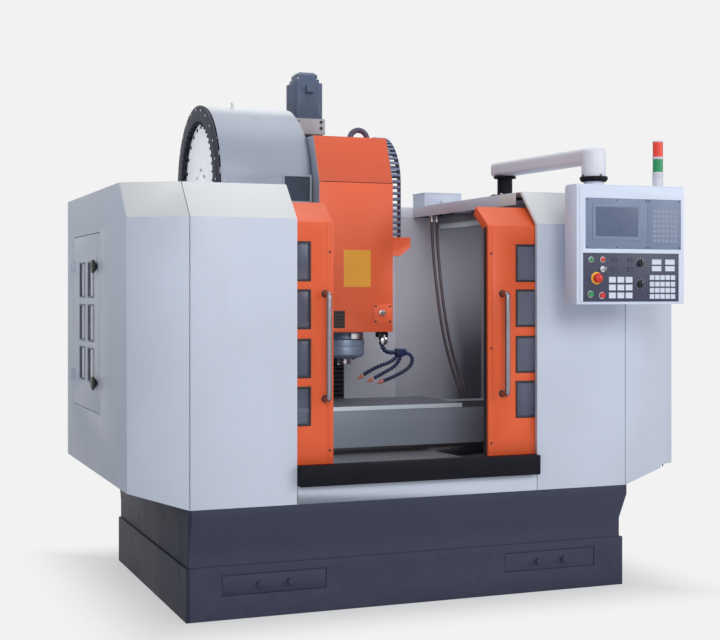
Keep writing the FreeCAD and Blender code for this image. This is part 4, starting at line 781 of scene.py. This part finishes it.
# head: plates, screws, louvres and the line where its two covers meet
headParts = {"plate": ((-70, 80), (1469, 1661)), "hatch": ((98, 197), (1280, 1378)), "knob": (142, 1334),
             "louvres": ((-126, -64), (1256, 1344)), "pitch": 18, "seamZ": 2013, "seamX": 205.2, "screwInset": 9}
face = boxOf("head_cover")[0].y
(x0, x1), (z0, z1) = headParts["plate"]
plate = startBox("headPlate", (x0, face - 1.2, z0), (x1, face + 0.3, z1))
added(rounded(inEdit(plate, facing(forward), inset(6, -0.4)), 0.4), "head_cover", "platePaint")
(x0, x1), (z0, z1) = headParts["hatch"]
added(startBox("headHatch", (x0, face - 2, z0), (x1, face + 0.3, z1), 1), "head_cover", "headPaint")
edge = headParts["screwInset"]
places = [(x, face - 2, z) for x in (x0 + edge, x1 - edge) for z in (z0 + edge, z1 - edge)]
added(panHeads("hatchScrews", places, forward, 5.5), "head_cover", "blackPlastic")
x, z = headParts["knob"]
knob = startTurned("hatchKnob", (x, face - 1.8, z), forward,
                   [(15, 0), (15, 4), (8, 7), (8, 14), (13, 17), (13, 24), (10, 26.5)], 28)
added(knob, "head_cover", "stainless")
(x0, x1), (z0, z1) = headParts["louvres"]
blades = [startBox("louvreBack", (x0 - 6, face + 3.2, z0 - 6), (x1 + 6, face + 4.2, z1 + 8))]
for z in range(z0, z1, headParts["pitch"]):
    blade = startBox("blade", (x0, face - 1.2, z + 8.4), (x1, face + 0.4, z + 17.6))
    blades.append(inEdit(blade, facing(upward), lambda: bpy.ops.transform.translate(value=at(0, 1.2, 0))))
added(joined("headLouvres", blades), "head_cover", "blackPlastic")
x, z = headParts["seamX"], headParts["seamZ"]
added(startBox("headSeam", (-x, face - 0.7, z - 1.4), (x, face + 0.4, z + 1.4)), "head_cover", "blackPaint")

# spindle housing, ring of bolts, nose and drive keys
spindle = {"axis": (0, 228, 0), "boltCircle": 60, "bolts": 6, "keys": 2, "collar": ((-2, 112, 1196), (64, 150, 1233)),
           "keyX": (22, 37), "keyHalf": 8, "keyHigh": 9}
axis = spindle["axis"]
y = axis[1]
low, high = boxOf("spindle_housing")
top = high.z - low.z - 1
housing = startTurned("spindleHousingTurned", (0, y, low.z), upward,
                      [(45.2, 0), (72, 0), (75, 3), (94, 8), (107, 20), (108, 24), (108, 60), (106.5, 61.5),
                       (106.5, 63.5), (108, 65), (108, 98), (106, 100), (90, 104), (88, 108), (88, top),
                       (45.2, top)], 64)
inEdit(housing, lambda face: face.normal.z > 0.9 and face.area > 0.004, lambda: bpy.ops.mesh.delete(type="FACE"))
standIn(rounded(housing, 0.8, 2, 30), "spindle_housing", "turnedSteel", 30)
bolt = startTurned("noseBolt", (spindle["boltCircle"], y, low.z + 0.2), downward,
                   [(5.5, 0), (5.5, 5), (4.8, 6), (3, 6), (3, 3)], 12)
added(around(bolt, spindle["bolts"], axis, upward), "spindle_housing", "blackPlastic", "steel")
added(startBox("collarBlock", *spindle["collar"], 2), "spindle_housing", "brightSteel", "steel")
low, high = boxOf("spindle")
nose = startTurned("spindleNose", (0, y, low.z), upward,
                   [(12.5, 74), (22.2, 8), (23.5, 6.5), (35.5, 6.5), (37, 8), (37, 30), (45, 34),
                    (45, high.z - low.z)])
standIn(rounded(nose, 0.4), "spindle", "brightSteel", 30)
(x0, x1), half = spindle["keyX"], spindle["keyHalf"]
key = startBox("driveKeys", (x0, y - half, low.z), (x1, y + half, low.z + spindle["keyHigh"]), 1)
added(around(key, spindle["keys"], axis, upward), "spindle", "steel")

# coolant: a manifold under the head and three jointed pipes
coolant = {"feed": ((168, 107, 1176), (172, 107, 1140), (206, 104, 1120), (250, 100, 1124)),
           "pipes": (((256, 100, 1110), (236, 100, 1076), (130, 126, 1044), (70, 148, 998)),
                     ((276, 100, 1110), (264, 104, 1058), (170, 130, 1006), (122, 140, 978)),
                     ((296, 100, 1124), (356, 102, 1108), (326, 114, 1020), (180, 138, 968))),
           "pitch": 16.5, "ball": 10.5, "feedPitch": 19, "feedBall": 12.5,
           "splitter": ((244, 80, 1104), (300, 120, 1144)), "manifold": ((140, 84, 1204), (196, 130, 1234)),
           "lever": ((164, 66, 1186), (172, 70, 1216)), "union": (168, 107, 1166), "valve": (168, 100, 1186)}


def curvePoints(route, gap):
    # places a fixed gap apart along one smooth line through the route, and the line; both in metres
    holder = bpy.data.objects.new("route", strung("route", "NURBS", [at(*corner) for corner in route], 24))
    line = [vertex.co.copy() for vertex in bpy.data.meshes.new_from_object(holder).vertices]
    bpy.data.objects.remove(holder)
    gap = gap / 1000
    places, left = [line[0]], gap
    for a, b in zip(line, line[1:]):
        span = (b - a).length
        while span >= left:
            a = a.lerp(b, left / span)
            places.append(a)
            span = (b - a).length
            left = gap
        left -= span
    return places, line


def beadsAlong(name, places, ball):
    # ball-and-socket links, each a turned bead that grips the next
    links, radius = [], ball / 1000
    shape = ((0.62, -0.1), (0.86, 0.02), (1, 0.28), (1, 0.62), (0.8, 0.86), (0.6, 0.98))
    for here, ahead in zip(places, places[1:]):
        length = (ahead - here).length
        profile = [(radius * wide, length * along) for wide, along in shape]
        links.append(revolved("link", here, ahead - here, profile, 14))
    return joined(name, links)


links, tips = [], []
for route in coolant["pipes"]:
    places, line = curvePoints(route, coolant["pitch"])
    links.append(beadsAlong("pipe", places, coolant["ball"]))
    way = (line[-1] - line[-2]).normalized()
    tips.append(startTurned("tip", line[-1] * 1000 - way * 8, way,
                            [(10.5, 0), (11.2, 4), (11.2, 12), (6, 22), (4.5, 34), (3, 34.2), (3, 26)], 20))
links.append(beadsAlong("feed", curvePoints(coolant["feed"], coolant["feedPitch"])[0], coolant["feedBall"]))
links.append(startBox("splitter", *coolant["splitter"], 6, 3))
standIn(joined("coolantPipes", links), "head_lines", "nozzleBlue", 50)
added(joined("coolantTips", tips), "head_lines", "nozzleTip", angle=45)
manifold = startBox("manifold", *coolant["manifold"], 3)
union = startTurned("union", coolant["union"], upward,
                    [(13, 0), (15, 2), (15, 16), (12, 18), (12, 24), (17, 26), (17, 39)], 6)
added(joined("coolantManifold", [manifold, union]), "head_lines", "blackPlastic")
valve = startTurned("coolantValve", coolant["valve"], forward,
                    [(10, 0), (10, 12), (22, 14), (22, 24), (19, 27), (8, 30)], 24)
lever = startBox("lever", *coolant["lever"], 1.5)
added(joined("coolantValve", [valve, lever]), "head_lines", "brightSteel")

# cable loop on the head, in its two glands
cableLoop = {"x": 130, "y": 350, "z": 2273, "radius": 15, "loop": 50}
x, y, z, reach = (cableLoop[key] for key in ("x", "y", "z", "loop"))
turns = [math.radians(15 * i) for i in range(13)]
loop = startPipe("cableLoop", [(x + reach * math.cos(turn), y, z + reach * math.sin(turn)) for turn in turns],
                 cableLoop["radius"], 2, 1, 5)
added(loop, "head_lines", "loopRubber", angle=50)
glands = [startTurned("gland", (end, y, z - 14.5), upward, [(22.5, 0), (22.5, 6), (20, 6.5), (20, 12), (16.5, 16)], 6)
          for end in (x - reach, x + reach)]
added(joined("cableGlands", glands), "head_lines", "steel", angle=30)
print("head")

# link chain: side plates and crossbars along its arch
chain = {"x": (216, 272), "y": 115, "thick": 46, "radius": 250, "rise": 2015, "low": 1734, "back": 1760, "pitch": 31,
         "cheek": 4, "cheekHalf": 18, "bar": 5, "barHalf": 7}


def chainPlaces():
    # the middle line: up, over the half circle, down; (y, z, turn) a pitch apart
    r, y0, top, pitch = (chain[key] for key in ("radius", "y", "rise", "pitch"))
    up, arc, down = top - chain["low"], math.pi * r, top - chain["back"]
    places, gone = [], pitch / 2
    while gone < up + arc + down:
        if gone < up:
            places.append((y0, chain["low"] + gone, 0.0))
        elif gone < up + arc:
            turn = (gone - up) / r
            places.append((y0 + r - r * math.cos(turn), top + r * math.sin(turn), turn))
        else:
            places.append((y0 + 2 * r, top - (gone - up - arc), math.pi))
        gone += pitch
    return places


x0, x1 = chain["x"]
half, thin, z, thick, rise = (chain[key] for key in ("thick", "cheek", "cheekHalf", "bar", "barHalf"))
half = half / 2
cheek = startBox("cheek", (0, -half, -z), (thin, half, z))
rounded(inEdit(cheek, facing(leftward), inset(7, -0.8)), 3)
bars = [startBox("bar", (0, y, -rise), (x1 - x0, y + thick, rise), 1.5) for y in (-half, half - thick)]
link = joined("chainLink", [cheek, copied(cheek, at(x1 - x0 - thin, 0, 0))] + bars)
links = [copied(link, Matrix.Translation(at(x0, y, z)) @ Matrix.Rotation(-turn, 4, "X"))
         for y, z, turn in chainPlaces()]
bpy.data.objects.remove(link)
linkChain = joined("linkChain", links)
spanning(linkChain, "chainPlastic", "cable_chain", 38)
at(244, chain["y"] + 2 * chain["radius"], 2000)
at(244, chain["y"], 2000)
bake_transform(linkChain)
print("chain", len(links))

# servo motor over the column
motor = {"half": 85, "y": 880, "mountTop": 2433.2, "ribs": (2446, 2630), "shoulder": 2662, "boltX": 58,
         "mountX": 70, "mountZ": (2380, 2415), "mountFace": 94.2, "ribX": range(-62, 63, 18),
         "ribY": range(818, 943, 18), "ribWide": 5}
upper, lower = split("z_motor", motor["mountTop"], "servoMotor", "motorMount", 1.6, 1.6)
standIn(upper, "z_motor", "motorPaint")
added(lower, "z_motor", "castingPaint")
half, wide, (z0, z1) = motor["half"], motor["ribWide"], motor["ribs"]
face = motor["y"] - half
ribs = [startBox("rib", (x, face - 1.2, z0), (x + wide, face + 0.2, z1)) for x in motor["ribX"]]
ribs += [startBox("rib", (-half - 1.2, y, z0), (0.2 - half, y + wide, z1)) for y in motor["ribY"]]
added(rounded(joined("motorRibs", ribs), 0.8), "z_motor", "motorPaint")
places = [(x, motor["y"] + y, motor["shoulder"]) for x in (-motor["boltX"], motor["boltX"])
          for y in (-motor["boltX"], motor["boltX"])]
added(panHeads("motorBolts", places, upward, 7, 6), "z_motor", "steel")
places = [(x, motor["y"] - motor["mountFace"], z) for x in (-motor["mountX"], motor["mountX"])
          for z in motor["mountZ"]]
added(panHeads("mountBolts", places, forward, 9, 7), "z_motor", "blackPlastic")
print("motor")

# magazine: guard ring, pots, disc, cover trim and window
magazine = {"centre": (-725, 550, 2018), "pots": 24, "potCircle": 366, "ringScrews": 398, "plugCircle": 308,
            "hubCircle": 78, "hubBolts": 6, "discX": -695, "discDeep": 96, "rivetX": -680, "rivetY": 133.5,
            "rivetZ": (1880, 1950, 2010), "frame": ((-374, 1902), (-214.5, 2052)), "frameWidth": 11,
            "pane": ((-362.5, 1913.5), (-225.5, 2042.5)), "toothLow": (-1, -8, 320), "toothHigh": (15, 8, 342)}
centre, pots = magazine["centre"], magazine["pots"]
x, y, z = centre
ring = startTurned("guardRing", centre, rightward,
                   [(336, 1), (346, 0), (412, 0), (419, 4), (420, 8), (420, 16), (336, 16)], 96)
rounded(openEnds(ring), 1.2, 2, 30)
tooth = startBox("tooth", magazine["toothLow"], magazine["toothHigh"])
rounded(inEdit(tooth, facing(downward), resized((1, 0.55, 1))), 3)
tooth.data.transform(Matrix.Translation(at(*centre)))
tooth = around(tooth, 2 * pots, centre, rightward)
pot = startTurned("pot", (x + 12, y, z + magazine["potCircle"]), rightward,
                  [(20, 20), (22, 0), (31, 0), (32, 2), (32, 26), (30, 28), (30, 34), (31.5, 36), (31.5, 66),
                   (29, 70), (29, 100), (24, 104)], 24)
pot = around(pot, pots, centre, rightward)
carrier = startTurned("carrier", centre, rightward, [(309, 116), (375, 116), (375, 126), (309, 126)], 96)
standIn(joined("magazineRing", [ring, pot, openEnds(carrier)]), "magazine_ring", "potPlastic", 35)
added(tooth, "magazine_ring", "toothPlastic", angle=35)
screws = panHeads("ringScrews", [(x, y, z + magazine["ringScrews"])], leftward, 7, 3)
added(around(screws, pots, centre, rightward), "magazine_ring", "steel")

x = magazine["discX"]
disc = startTurned("magazineDiscTurned", (x + magazine["discDeep"], y, z), leftward,
                   [(30.3, 0), (306, 0), (307, 2), (307, 84), (329, 84), (330, 85.5), (330, 94.5), (328.5, 96),
                    (296, 96), (294, 93.5), (286, 93.5), (284, 96), (118, 96), (116, 93.5), (108, 93.5), (106, 96),
                    (50, 96), (48, 108), (44, 110)], 96)
standIn(disc, "magazine_disc", "discPaint", 30)
plug = startTurned("discPlugs", (x - 0.5, y, z + magazine["plugCircle"]), leftward,
                   [(10, -1), (10, 2), (8.5, 3.5), (4, 3.5), (3, 1)], 16)
added(around(plug, pots, centre, rightward), "magazine_disc", "darkKeys")
bolt = startTurned("hubBolts", (x - 0.5, y, z + magazine["hubCircle"]), leftward,
                   [(9, -1), (9, 6), (7.5, 7.5), (4, 7.5), (4, 4)], 12)
added(around(bolt, magazine["hubBolts"], centre, rightward), "magazine_disc", "steel")

face = boxOf("magazine_cover")[0].y
(x0, z0), (x1, z1) = magazine["frame"]
rim = frameRing("windowFrame", (x0, face - 3, z0), (x1, face + 0.3, z1), 1, magazine["frameWidth"])
added(rounded(rim, 1), "magazine_cover", "magazinePaint")
(x0, z0), (x1, z1) = magazine["pane"]
pane = startBox("windowPane", (x0, face + 0.6, z0), (x1, face + 3.5, z1))
added(inEdit(pane, facing(forward), inset(2)), "magazine_cover", "darkPane")
places = [(magazine["rivetX"], magazine["rivetY"], z) for z in magazine["rivetZ"]]
added(panHeads("coverRivets", places, forward, 5, 2), "magazine_cover", "steel")
print("magazine")

# console: bezel, screen, keys and operator panel; areas are left, right, top and bottom from its top left corner
console = {"left": 651, "top": 1942, "face": -1080, "bezel": (44, 564, 64, 299), "screen": (96, 326, 104, 242),
           "operator": (31, 551, 318, 544), "split": 380, "gap": 0.6, "rim": 16, "screwU": (52, 212, 372, 388, 556),
           "screwV": (72, 291), "lamps": {"green": (72, 349), "red": (134, 349)}}
# each kind of key: columns, rows, width, height, how far it stands out, finish
keys = {"inputKeys": ([418 + i * 23 for i in range(6)], [120 + i * 23 for i in range(7)], 18, 16, 5, "greyKeys"),
        "jogKeys": ((186, 231, 276), (442, 478, 515), 36, 27, 7, "whiteKeys"),
        "modeKeys": ((427, 501), (358, 389), 52, 24, 6, "whiteKeys"),
        "functionKeys": ([402 + i * 29 for i in range(5)], (431, 462, 491, 520), 24, 22, 6, "whiteKeys"),
        "darkKeys": ((200, 284), (349, 393), 28, 20, 6, "darkKeys")}


def onPanel(u, v, out=2):
    # u to the right, v down and out towards the user
    return console["left"] + u, console["face"] - out, console["top"] - v


def panelBox(name, area, out, back):
    left, right, top, bottom = area
    return startBox(name, onPanel(left, bottom, out), onPanel(right, top, back))


def keyRow(name, us, vs, wide, high, proud):
    # keys of one kind: softened caps with a shallow dish
    area = (us[0] - wide / 2, us[0] + wide / 2, vs[0] - high / 2, vs[0] + high / 2)
    cap = rounded(inEdit(panelBox(name, area, proud, 1.5), facing(forward), inset(2.2, -0.6)), 0.7)
    return repeated(cap, [at(u - us[0], 0, vs[0] - v) for u in us for v in vs if (u, v) != (us[0], vs[0])])


left, right, top, bottom = console["bezel"]
halves = {"bezelLeft": (left, console["split"] - console["gap"], top, bottom),
          "bezelRight": (console["split"] + console["gap"], right, top, bottom)}
bezel = [rounded(panelBox(name, area, 3.5, -2), 1.2) for name, area in halves.items()]
standIn(joined("consoleBezel", bezel), "console_panels", "bezelPlastic")
(left, right, top, bottom), rim = console["screen"], console["rim"]
surround = frameRing("screenSurround", onPanel(left - rim, bottom + rim, 6), onPanel(right + rim, top - rim, 3), 1,
                     rim + 1)
added(rounded(surround, 1.2, 3), "console_panels", "bezelPlastic")
screen = panelBox("consoleScreen", console["screen"], 4.4, 3)
inEdit(screen, facing(forward), inset(3), lambda: bpy.ops.mesh.subdivide(number_cuts=3))
added(screen, "console_panels", "screenGlass")
places = [onPanel(u, v, 3.5) for u in console["screwU"] for v in console["screwV"]]
added(panHeads("bezelScrews", places, forward, 3.6, 1.5), "console_panels", "blackPlastic")
added(rounded(panelBox("operatorPanel", console["operator"], 3, -2), 1), "console_panels", "operatorFilm")
for name, (*shape, finish) in keys.items():
    added(keyRow(name, *shape), "console_panels", finish)
for colour, (u, v) in console["lamps"].items():
    spot = onPanel(u, v, 2.8)
    rim = startTurned(colour + "LampRim", spot, forward, [(14, 0), (14, 4), (12.5, 5.5), (10.5, 5.5)], 28)
    added(rim, "console_panels", "brightSteel")
    glow = startTurned(colour + "Lamp", spot, forward, [(10.5, 4), (10.5, 8), (8, 10.5), (4, 11.5)], 24)
    added(glow, "console_panels", colour + "Plastic")
print("console")

# controls that move, each on its own body
controls = {"start_button": (72, 509, "greenPlastic"), "stop_button": (132, 515, "redPlastic"),
            "emergency_stop": (103, 435), "key_switch": (134, 393), "mode_knob": (339, 364), "feed_knob": (339, 462)}
for node in ("start_button", "stop_button"):
    u, v, finish = controls[node]
    cap = startTurned(node + "_cap", onPanel(u, v), forward,
                      [(9.8, -18), (9.8, 4), (12.5, 4.5), (12.5, 10.5), (11.5, 12), (6, 11.5)], 32)
    standIn(cap, node, finish)
    rim = startTurned(node + "_rim", onPanel(u, v), forward,
                      [(16.5, -1), (16.5, 2.5), (15, 4), (13.2, 4), (13, 0)], 32)
    added(rim, "console_panels", "brightSteel")
spot = onPanel(*controls["emergency_stop"])
mushroom = startTurned("stopMushroom", spot, forward,
                       [(10.8, -18), (10.8, 8), (14, 8.5), (20.5, 12), (22, 15), (22, 21), (20.5, 25), (16, 29),
                        (9, 31.5), (3, 32.5)])
standIn(mushroom, "emergency_stop", "redPlastic", 50)
collar = startTurned("stopCollar", spot, forward, [(29, -1), (29, 2), (27, 3), (17.2, 3), (17.2, 0)], 40)
added(collar, "console_panels", "platePaint")
spot = x, y, z = onPanel(*controls["key_switch"])
barrel = startTurned("keyBarrel", spot, forward,
                     [(9.8, -18), (9.8, 0.3), (14.8, 0.4), (14.8, 6), (12.5, 8), (6, 8)], 32)
blade = startBox("blade", (x - 1.3, y - 33, z - 9), (x + 1.3, y - 7, z + 9), 1)
standIn(joined("keySwitchTurned", [barrel, blade]), "key_switch", "brightSteel")
for node in ("mode_knob", "feed_knob"):
    spot = x, y, z = onPanel(*controls[node])
    cap = startTurned(node + "_cap", spot, forward,
                      [(5.8, -18), (5.8, 0.3), (16.8, 0.4), (16.8, 3), (15.5, 4), (14.5, 14.5), (13, 16)], 36)
    grip = startBox("grip", (x - 4.2, y - 21.5, z - 15.5), (x + 4.2, y - 14.5, z + 15.5), 1.8, 3)
    standIn(joined(node + "_turned", [cap, grip]), node, "blackPlastic")
    pointer = startBox(node + "_pointer", (x - 0.6, y - 21.8, z + 4), (x + 0.6, y - 21.2, z + 14.5), 0.2)
    added(pointer, node, "whiteKeys", "black_plastic")
    tick = startBox(node + "_ticks", (x - 0.6, y - 1.3, z + 22), (x + 0.6, y - 0.6, z + 27))
    turns = [math.radians(turn) for turn in range(-150, 151, 30) if turn]
    added(turnedAbout(tick, spot, (0, 1, 0), turns), "console_panels", "whiteKeys", "keypad_plastic")

# two-tier lamp: each lens stands between two heights over the foot
stackLamp = {"foot": (1135, -1010, 1942), "green": (72, 134), "red": (144, 216), "rib": 6}
foot = stackLamp["foot"]
rings = [startTurned("ring", foot, upward, profile, 40) for profile in (
    [(27, 0), (27, 6), (25.5, 8), (25.5, 60), (26.8, 62), (26.8, 72)],
    [(24.5, 133), (26.5, 134.5), (26.5, 143.5), (24.5, 145)],
    [(24.5, 214.5), (26.5, 216), (26.5, 220), (24.5, 221.8), (12, 222)])]
standIn(joined("lampBase", rings), "stack_light", "palePlastic")
for colour in ("green", "red"):
    low, high = stackLamp[colour]
    profile = [(23.5, 0)]
    for rise in range(0, (high - low) // stackLamp["rib"] * stackLamp["rib"], stackLamp["rib"]):
        profile += [(24.8, rise + 1.2), (23.8, rise + 4.6)]
    profile.append((23.5, high - low))
    lens = startTurned(colour + "Lens", (foot[0], foot[1], foot[2] + low), upward, profile, 40)
    added(lens, "stack_light", colour + "Lens", angle=50)
print("lamp")

# arm: screws in the drop flange, a ring round the neck and bolts in the post's foot
arm = {"pivot": (795, -990), "post": (733, -208), "flangeTop": 1983.2, "flangeBolts": (60.6, 2), "boltZ": 1982,
       "neckZ": 1960, "postBolts": 62, "postTurns": (0.8, 2.37, 3.94, 5.51), "postZ": 1948}
upper, lower = split("console_arm", arm["flangeTop"], "consoleArm", "armFlange", 1.5, 1.2)
standIn(upper, "console_arm", "armPaint")
added(lower, "console_arm", "blackPaint")
(x, y), (reach, first) = arm["pivot"], arm["flangeBolts"]
turns = [math.radians(first + 90 * i) for i in range(4)]
bolts = [startTurned("bolt", (x + reach * math.cos(turn), y + reach * math.sin(turn), arm["boltZ"]), upward,
                     [(4.2, 0), (4.2, 8), (3.8, 10), (2.2, 10)], 12) for turn in turns]
added(joined("flangeBolts", bolts), "console_arm", "blackPlastic")
ring = startTurned("neckRing", (x, y, arm["neckZ"]), upward,
                   [(45.5, 0), (59, 0.6), (60, 1.5), (60, 6.5), (59, 7.3), (45.5, 7.3)], 40)
added(ring, "console_box", "blackPaint")
(x, y), reach = arm["post"], arm["postBolts"]
places = [(x + reach * math.cos(turn), y + reach * math.sin(turn), arm["postZ"]) for turn in arm["postTurns"]]
added(panHeads("postBolts", places, upward, 8, 7), "arm_post", "steel")

# work lamp: folded housing on two brackets, with a tube lens along its lower edge
workLamp = {"lens": (711, 1821), "radius": 21, "y": (-50, 525), "cap": 8, "capRadius": 22.5}
standIn(pressed("work_lamp", "workLampHousing", 1.5), "work_lamp", "lampBody")
(x, z), (y0, y1), long = workLamp["lens"], workLamp["y"], workLamp["cap"]
lens = startRod("workLampLens", (x, y0, z), (x, y1, z), workLamp["radius"])
added(rounded(lens, 2), "work_lamp", "lampLens")
caps = [rounded(startRod("lensCap", (x, y, z), (x, y + long, z), workLamp["capRadius"]), 1) for y in (y0 - 6, y1 - 2)]
added(joined("lensCaps", caps), "work_lamp", "blackPlastic")


# bellows: pleats between the table and the ends of the guard, and under the head
def pleats(name, start, folds, step, depth, wide):
    # one strip of folds: an edge pushed out and in by turns, then widened and given a thickness
    bpy.ops.object.select_all(action="DESELECT")
    bpy.ops.mesh.primitive_plane_add(size=1, location=(0, 0, 0))
    piece = alone(bpy.context.object)
    bpy.ops.object.mode_set(mode="EDIT")
    bpy.ops.mesh.select_mode(type="VERT")
    bpy.ops.mesh.select_all(action="SELECT")
    bpy.ops.mesh.merge(type="CENTER")
    bpy.ops.transform.translate(value=at(*start))
    stride, crest = Vector(at(*step)) / 2, Vector(at(*depth))
    for i in range(folds * 2):
        bpy.ops.mesh.extrude_vertices_move(TRANSFORM_OT_translate={"value": stride + (-crest if i % 2 else crest)})
    bpy.ops.mesh.select_mode(type="EDGE")
    bpy.ops.mesh.select_all(action="SELECT")
    bpy.ops.mesh.extrude_edges_move(TRANSFORM_OT_translate={"value": at(*wide)})
    bpy.ops.mesh.select_mode(type="FACE")
    bpy.ops.object.mode_set(mode="OBJECT")
    return modified(named(piece, name), "SOLIDIFY", thickness=bellows["cloth"] / 1000, offset=0)


bellows = {"x": (502, 980), "y": (-180, 316), "z": (702, 836), "folds": 26, "depth": 12, "sideDepth": 8,
           "apronFolds": 22, "apronDepth": 14, "cloth": 1.6, "joinAt": (68, 760),
           "shadowWiper": ((-984, -187, 646), (984, -181.2, 664))}
# rubber wiper along the apron's foot, also a painted shadow: it stands in for the dark gap under the apron
added(startBox("apronWiperShadow", *bellows["shadowWiper"], 1.5), "way_guard", "rubber")
(x0, x1), (y0, y1), (z0, z1) = bellows["x"], bellows["y"], bellows["z"]
folds, depth, push = bellows["folds"], bellows["depth"], bellows["sideDepth"]
for side in (1, -1):
    step = (side * (x1 - x0) / folds, 0, 0)
    strips = [pleats("top", (side * x0, y0, z1 - depth), folds, step, (0, 0, depth), (0, y1 - y0, 0))]
    for y, out in ((y0, push), (y1, -push)):
        strips.append(pleats("side", (side * x0, y, z0), folds, step, (0, out, 0), (0, 0, z1 - depth - z0)))
    hood = inEdit(joined("tableBellows" + ("Right" if side > 0 else "Left"), strips), None, outwards)
    spanning(hood, "cloth", "x_bellows" if side > 0 else None)
    at(side * x0, *bellows["joinAt"])
    at(side * x1, *bellows["joinAt"])
    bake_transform(hood)

low, high = boxOf("z_bellows")
folds = bellows["apronFolds"]
apron = pleats("headApron", (low.x + 1, high.y - 4, low.z), folds, (0, 0, (high.z - low.z) / folds),
               (0, -bellows["apronDepth"], 0), (high.x - low.x - 2, 0, 0))
spanning(inEdit(apron, None, outwards), "cloth", "z_bellows")
low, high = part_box("z_bellows")
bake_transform(apron)
print("bellows", len(hood.data.polygons), len(apron.data.polygons))

# two hoses from the roof rim to the rear guard of the ways
hoses = {"radius": 8.5, "apart": 30, "nodes": ("roof_hose_1", "roof_hose_2"), "gap": 12, "steps": 16,
         "route": ((625, 478, 1874), (625, 478, 1780), (640, 464, 1530), (668, 438, 1240), (712, 392, 1000),
                   (750, 342, 870), (750, 342, 790))}
for i, node in enumerate(hoses["nodes"]):
    route = [(x + i * hoses["apart"], y, z) for x, y, z in hoses["route"]]
    line = curvePoints(route, hoses["gap"])[1]
    curve = strung(node, "NURBS", [at(*corner) for corner in route], hoses["steps"])
    piece = piped(node + "_cord", curve, hoses["radius"], 4)
    length = sum((b - a).length for a, b in zip(line, line[1:]))
    spanning(piece, "hoseRubber", node, 60)
    at(*route[0])
    at(*route[2])
    at(*route[-2])
    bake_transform(piece)
    for end, way, holder in ((route[0], downward, "arm_post"), (route[-1], upward, "way_guard")):
        ferrule = startTurned(node + "_ferrule", end, way, [(13.5, -2), (13.5, 10), (11, 12), (11, 30), (9.5, 34)], 18)
        added(ferrule, holder, "steel")
print("hoses")


# studio: world, floor and lamps
def seenRays(tree):
    # 1 for what the camera sees, straight, mirrored or through glass
    rays = tree.nodes.new("ShaderNodeLightPath")
    share = rays.outputs["Is Camera Ray"]
    for name in ("Is Glossy Ray", "Is Transmission Ray"):
        either = tree.nodes.new("ShaderNodeMath")
        either.operation = "MAXIMUM"
        tree.links.new(share, either.inputs[0])
        tree.links.new(rays.outputs[name], either.inputs[1])
        share = either.outputs[0]
    return share


def shown(tree, share, first, second, output):
    # what the eye gets: the first shader, or the second by its share
    choose = tree.nodes.new("ShaderNodeMixShader")
    for socket, source in zip(choose.inputs, (share, first, second)):
        tree.links.new(source, socket)
    tree.links.new(choose.outputs[0], tree.nodes[output].inputs["Surface"])


world = bpy.data.worlds.new("studio")
bpy.context.scene.world = world
world.use_nodes = True
sky, seen = world.node_tree.nodes["Background"], world.node_tree.nodes.new("ShaderNodeBackground")
sky.inputs["Color"].default_value = fromSrgb(studio["sky"])
sky.inputs["Strength"].default_value = studio["ambient"]
seen.inputs["Color"].default_value = fromSrgb(studio["backdrop"])
shown(world.node_tree, seenRays(world.node_tree), sky.outputs[0], seen.outputs[0], "World Output")

bpy.ops.object.select_all(action="DESELECT")
bpy.ops.mesh.primitive_circle_add(vertices=96, radius=studio["groundRadius"], fill_type="NGON",
                                  location=(0, 0, -0.001))
floor = settle(bpy.context.object, "studioFloor")
ground = Finish("studioFloor", 0.6)
ground.set("Base Color", fromSrgb(studio["ground"]))
gone = [ground.axis(letter).sum("ABSOLUTE", 0.0) - half for letter, half in zip("XY", studio["footprint"])]
away = gone[0].sum("MAXIMUM", gone[1])
glowing = ground.add("ShaderNodeEmission", None, {"Color": fromSrgb(studio["backdrop"])})
fade = away.band(0.0, studio["floorTo"], studio["floorFrom"], 1.0) * Reading(ground, seenRays(ground.tree))
shown(ground.tree, fade.socket, ground.shader.outputs[0], glowing.socket, "Material Output")
floor.data.materials.append(ground.material)

for name, (place, size, power, target) in lamps.items():
    addLamp(name, place, size, power, target)
bpy.context.scene.view_settings.view_transform = "Standard"
print("studio")
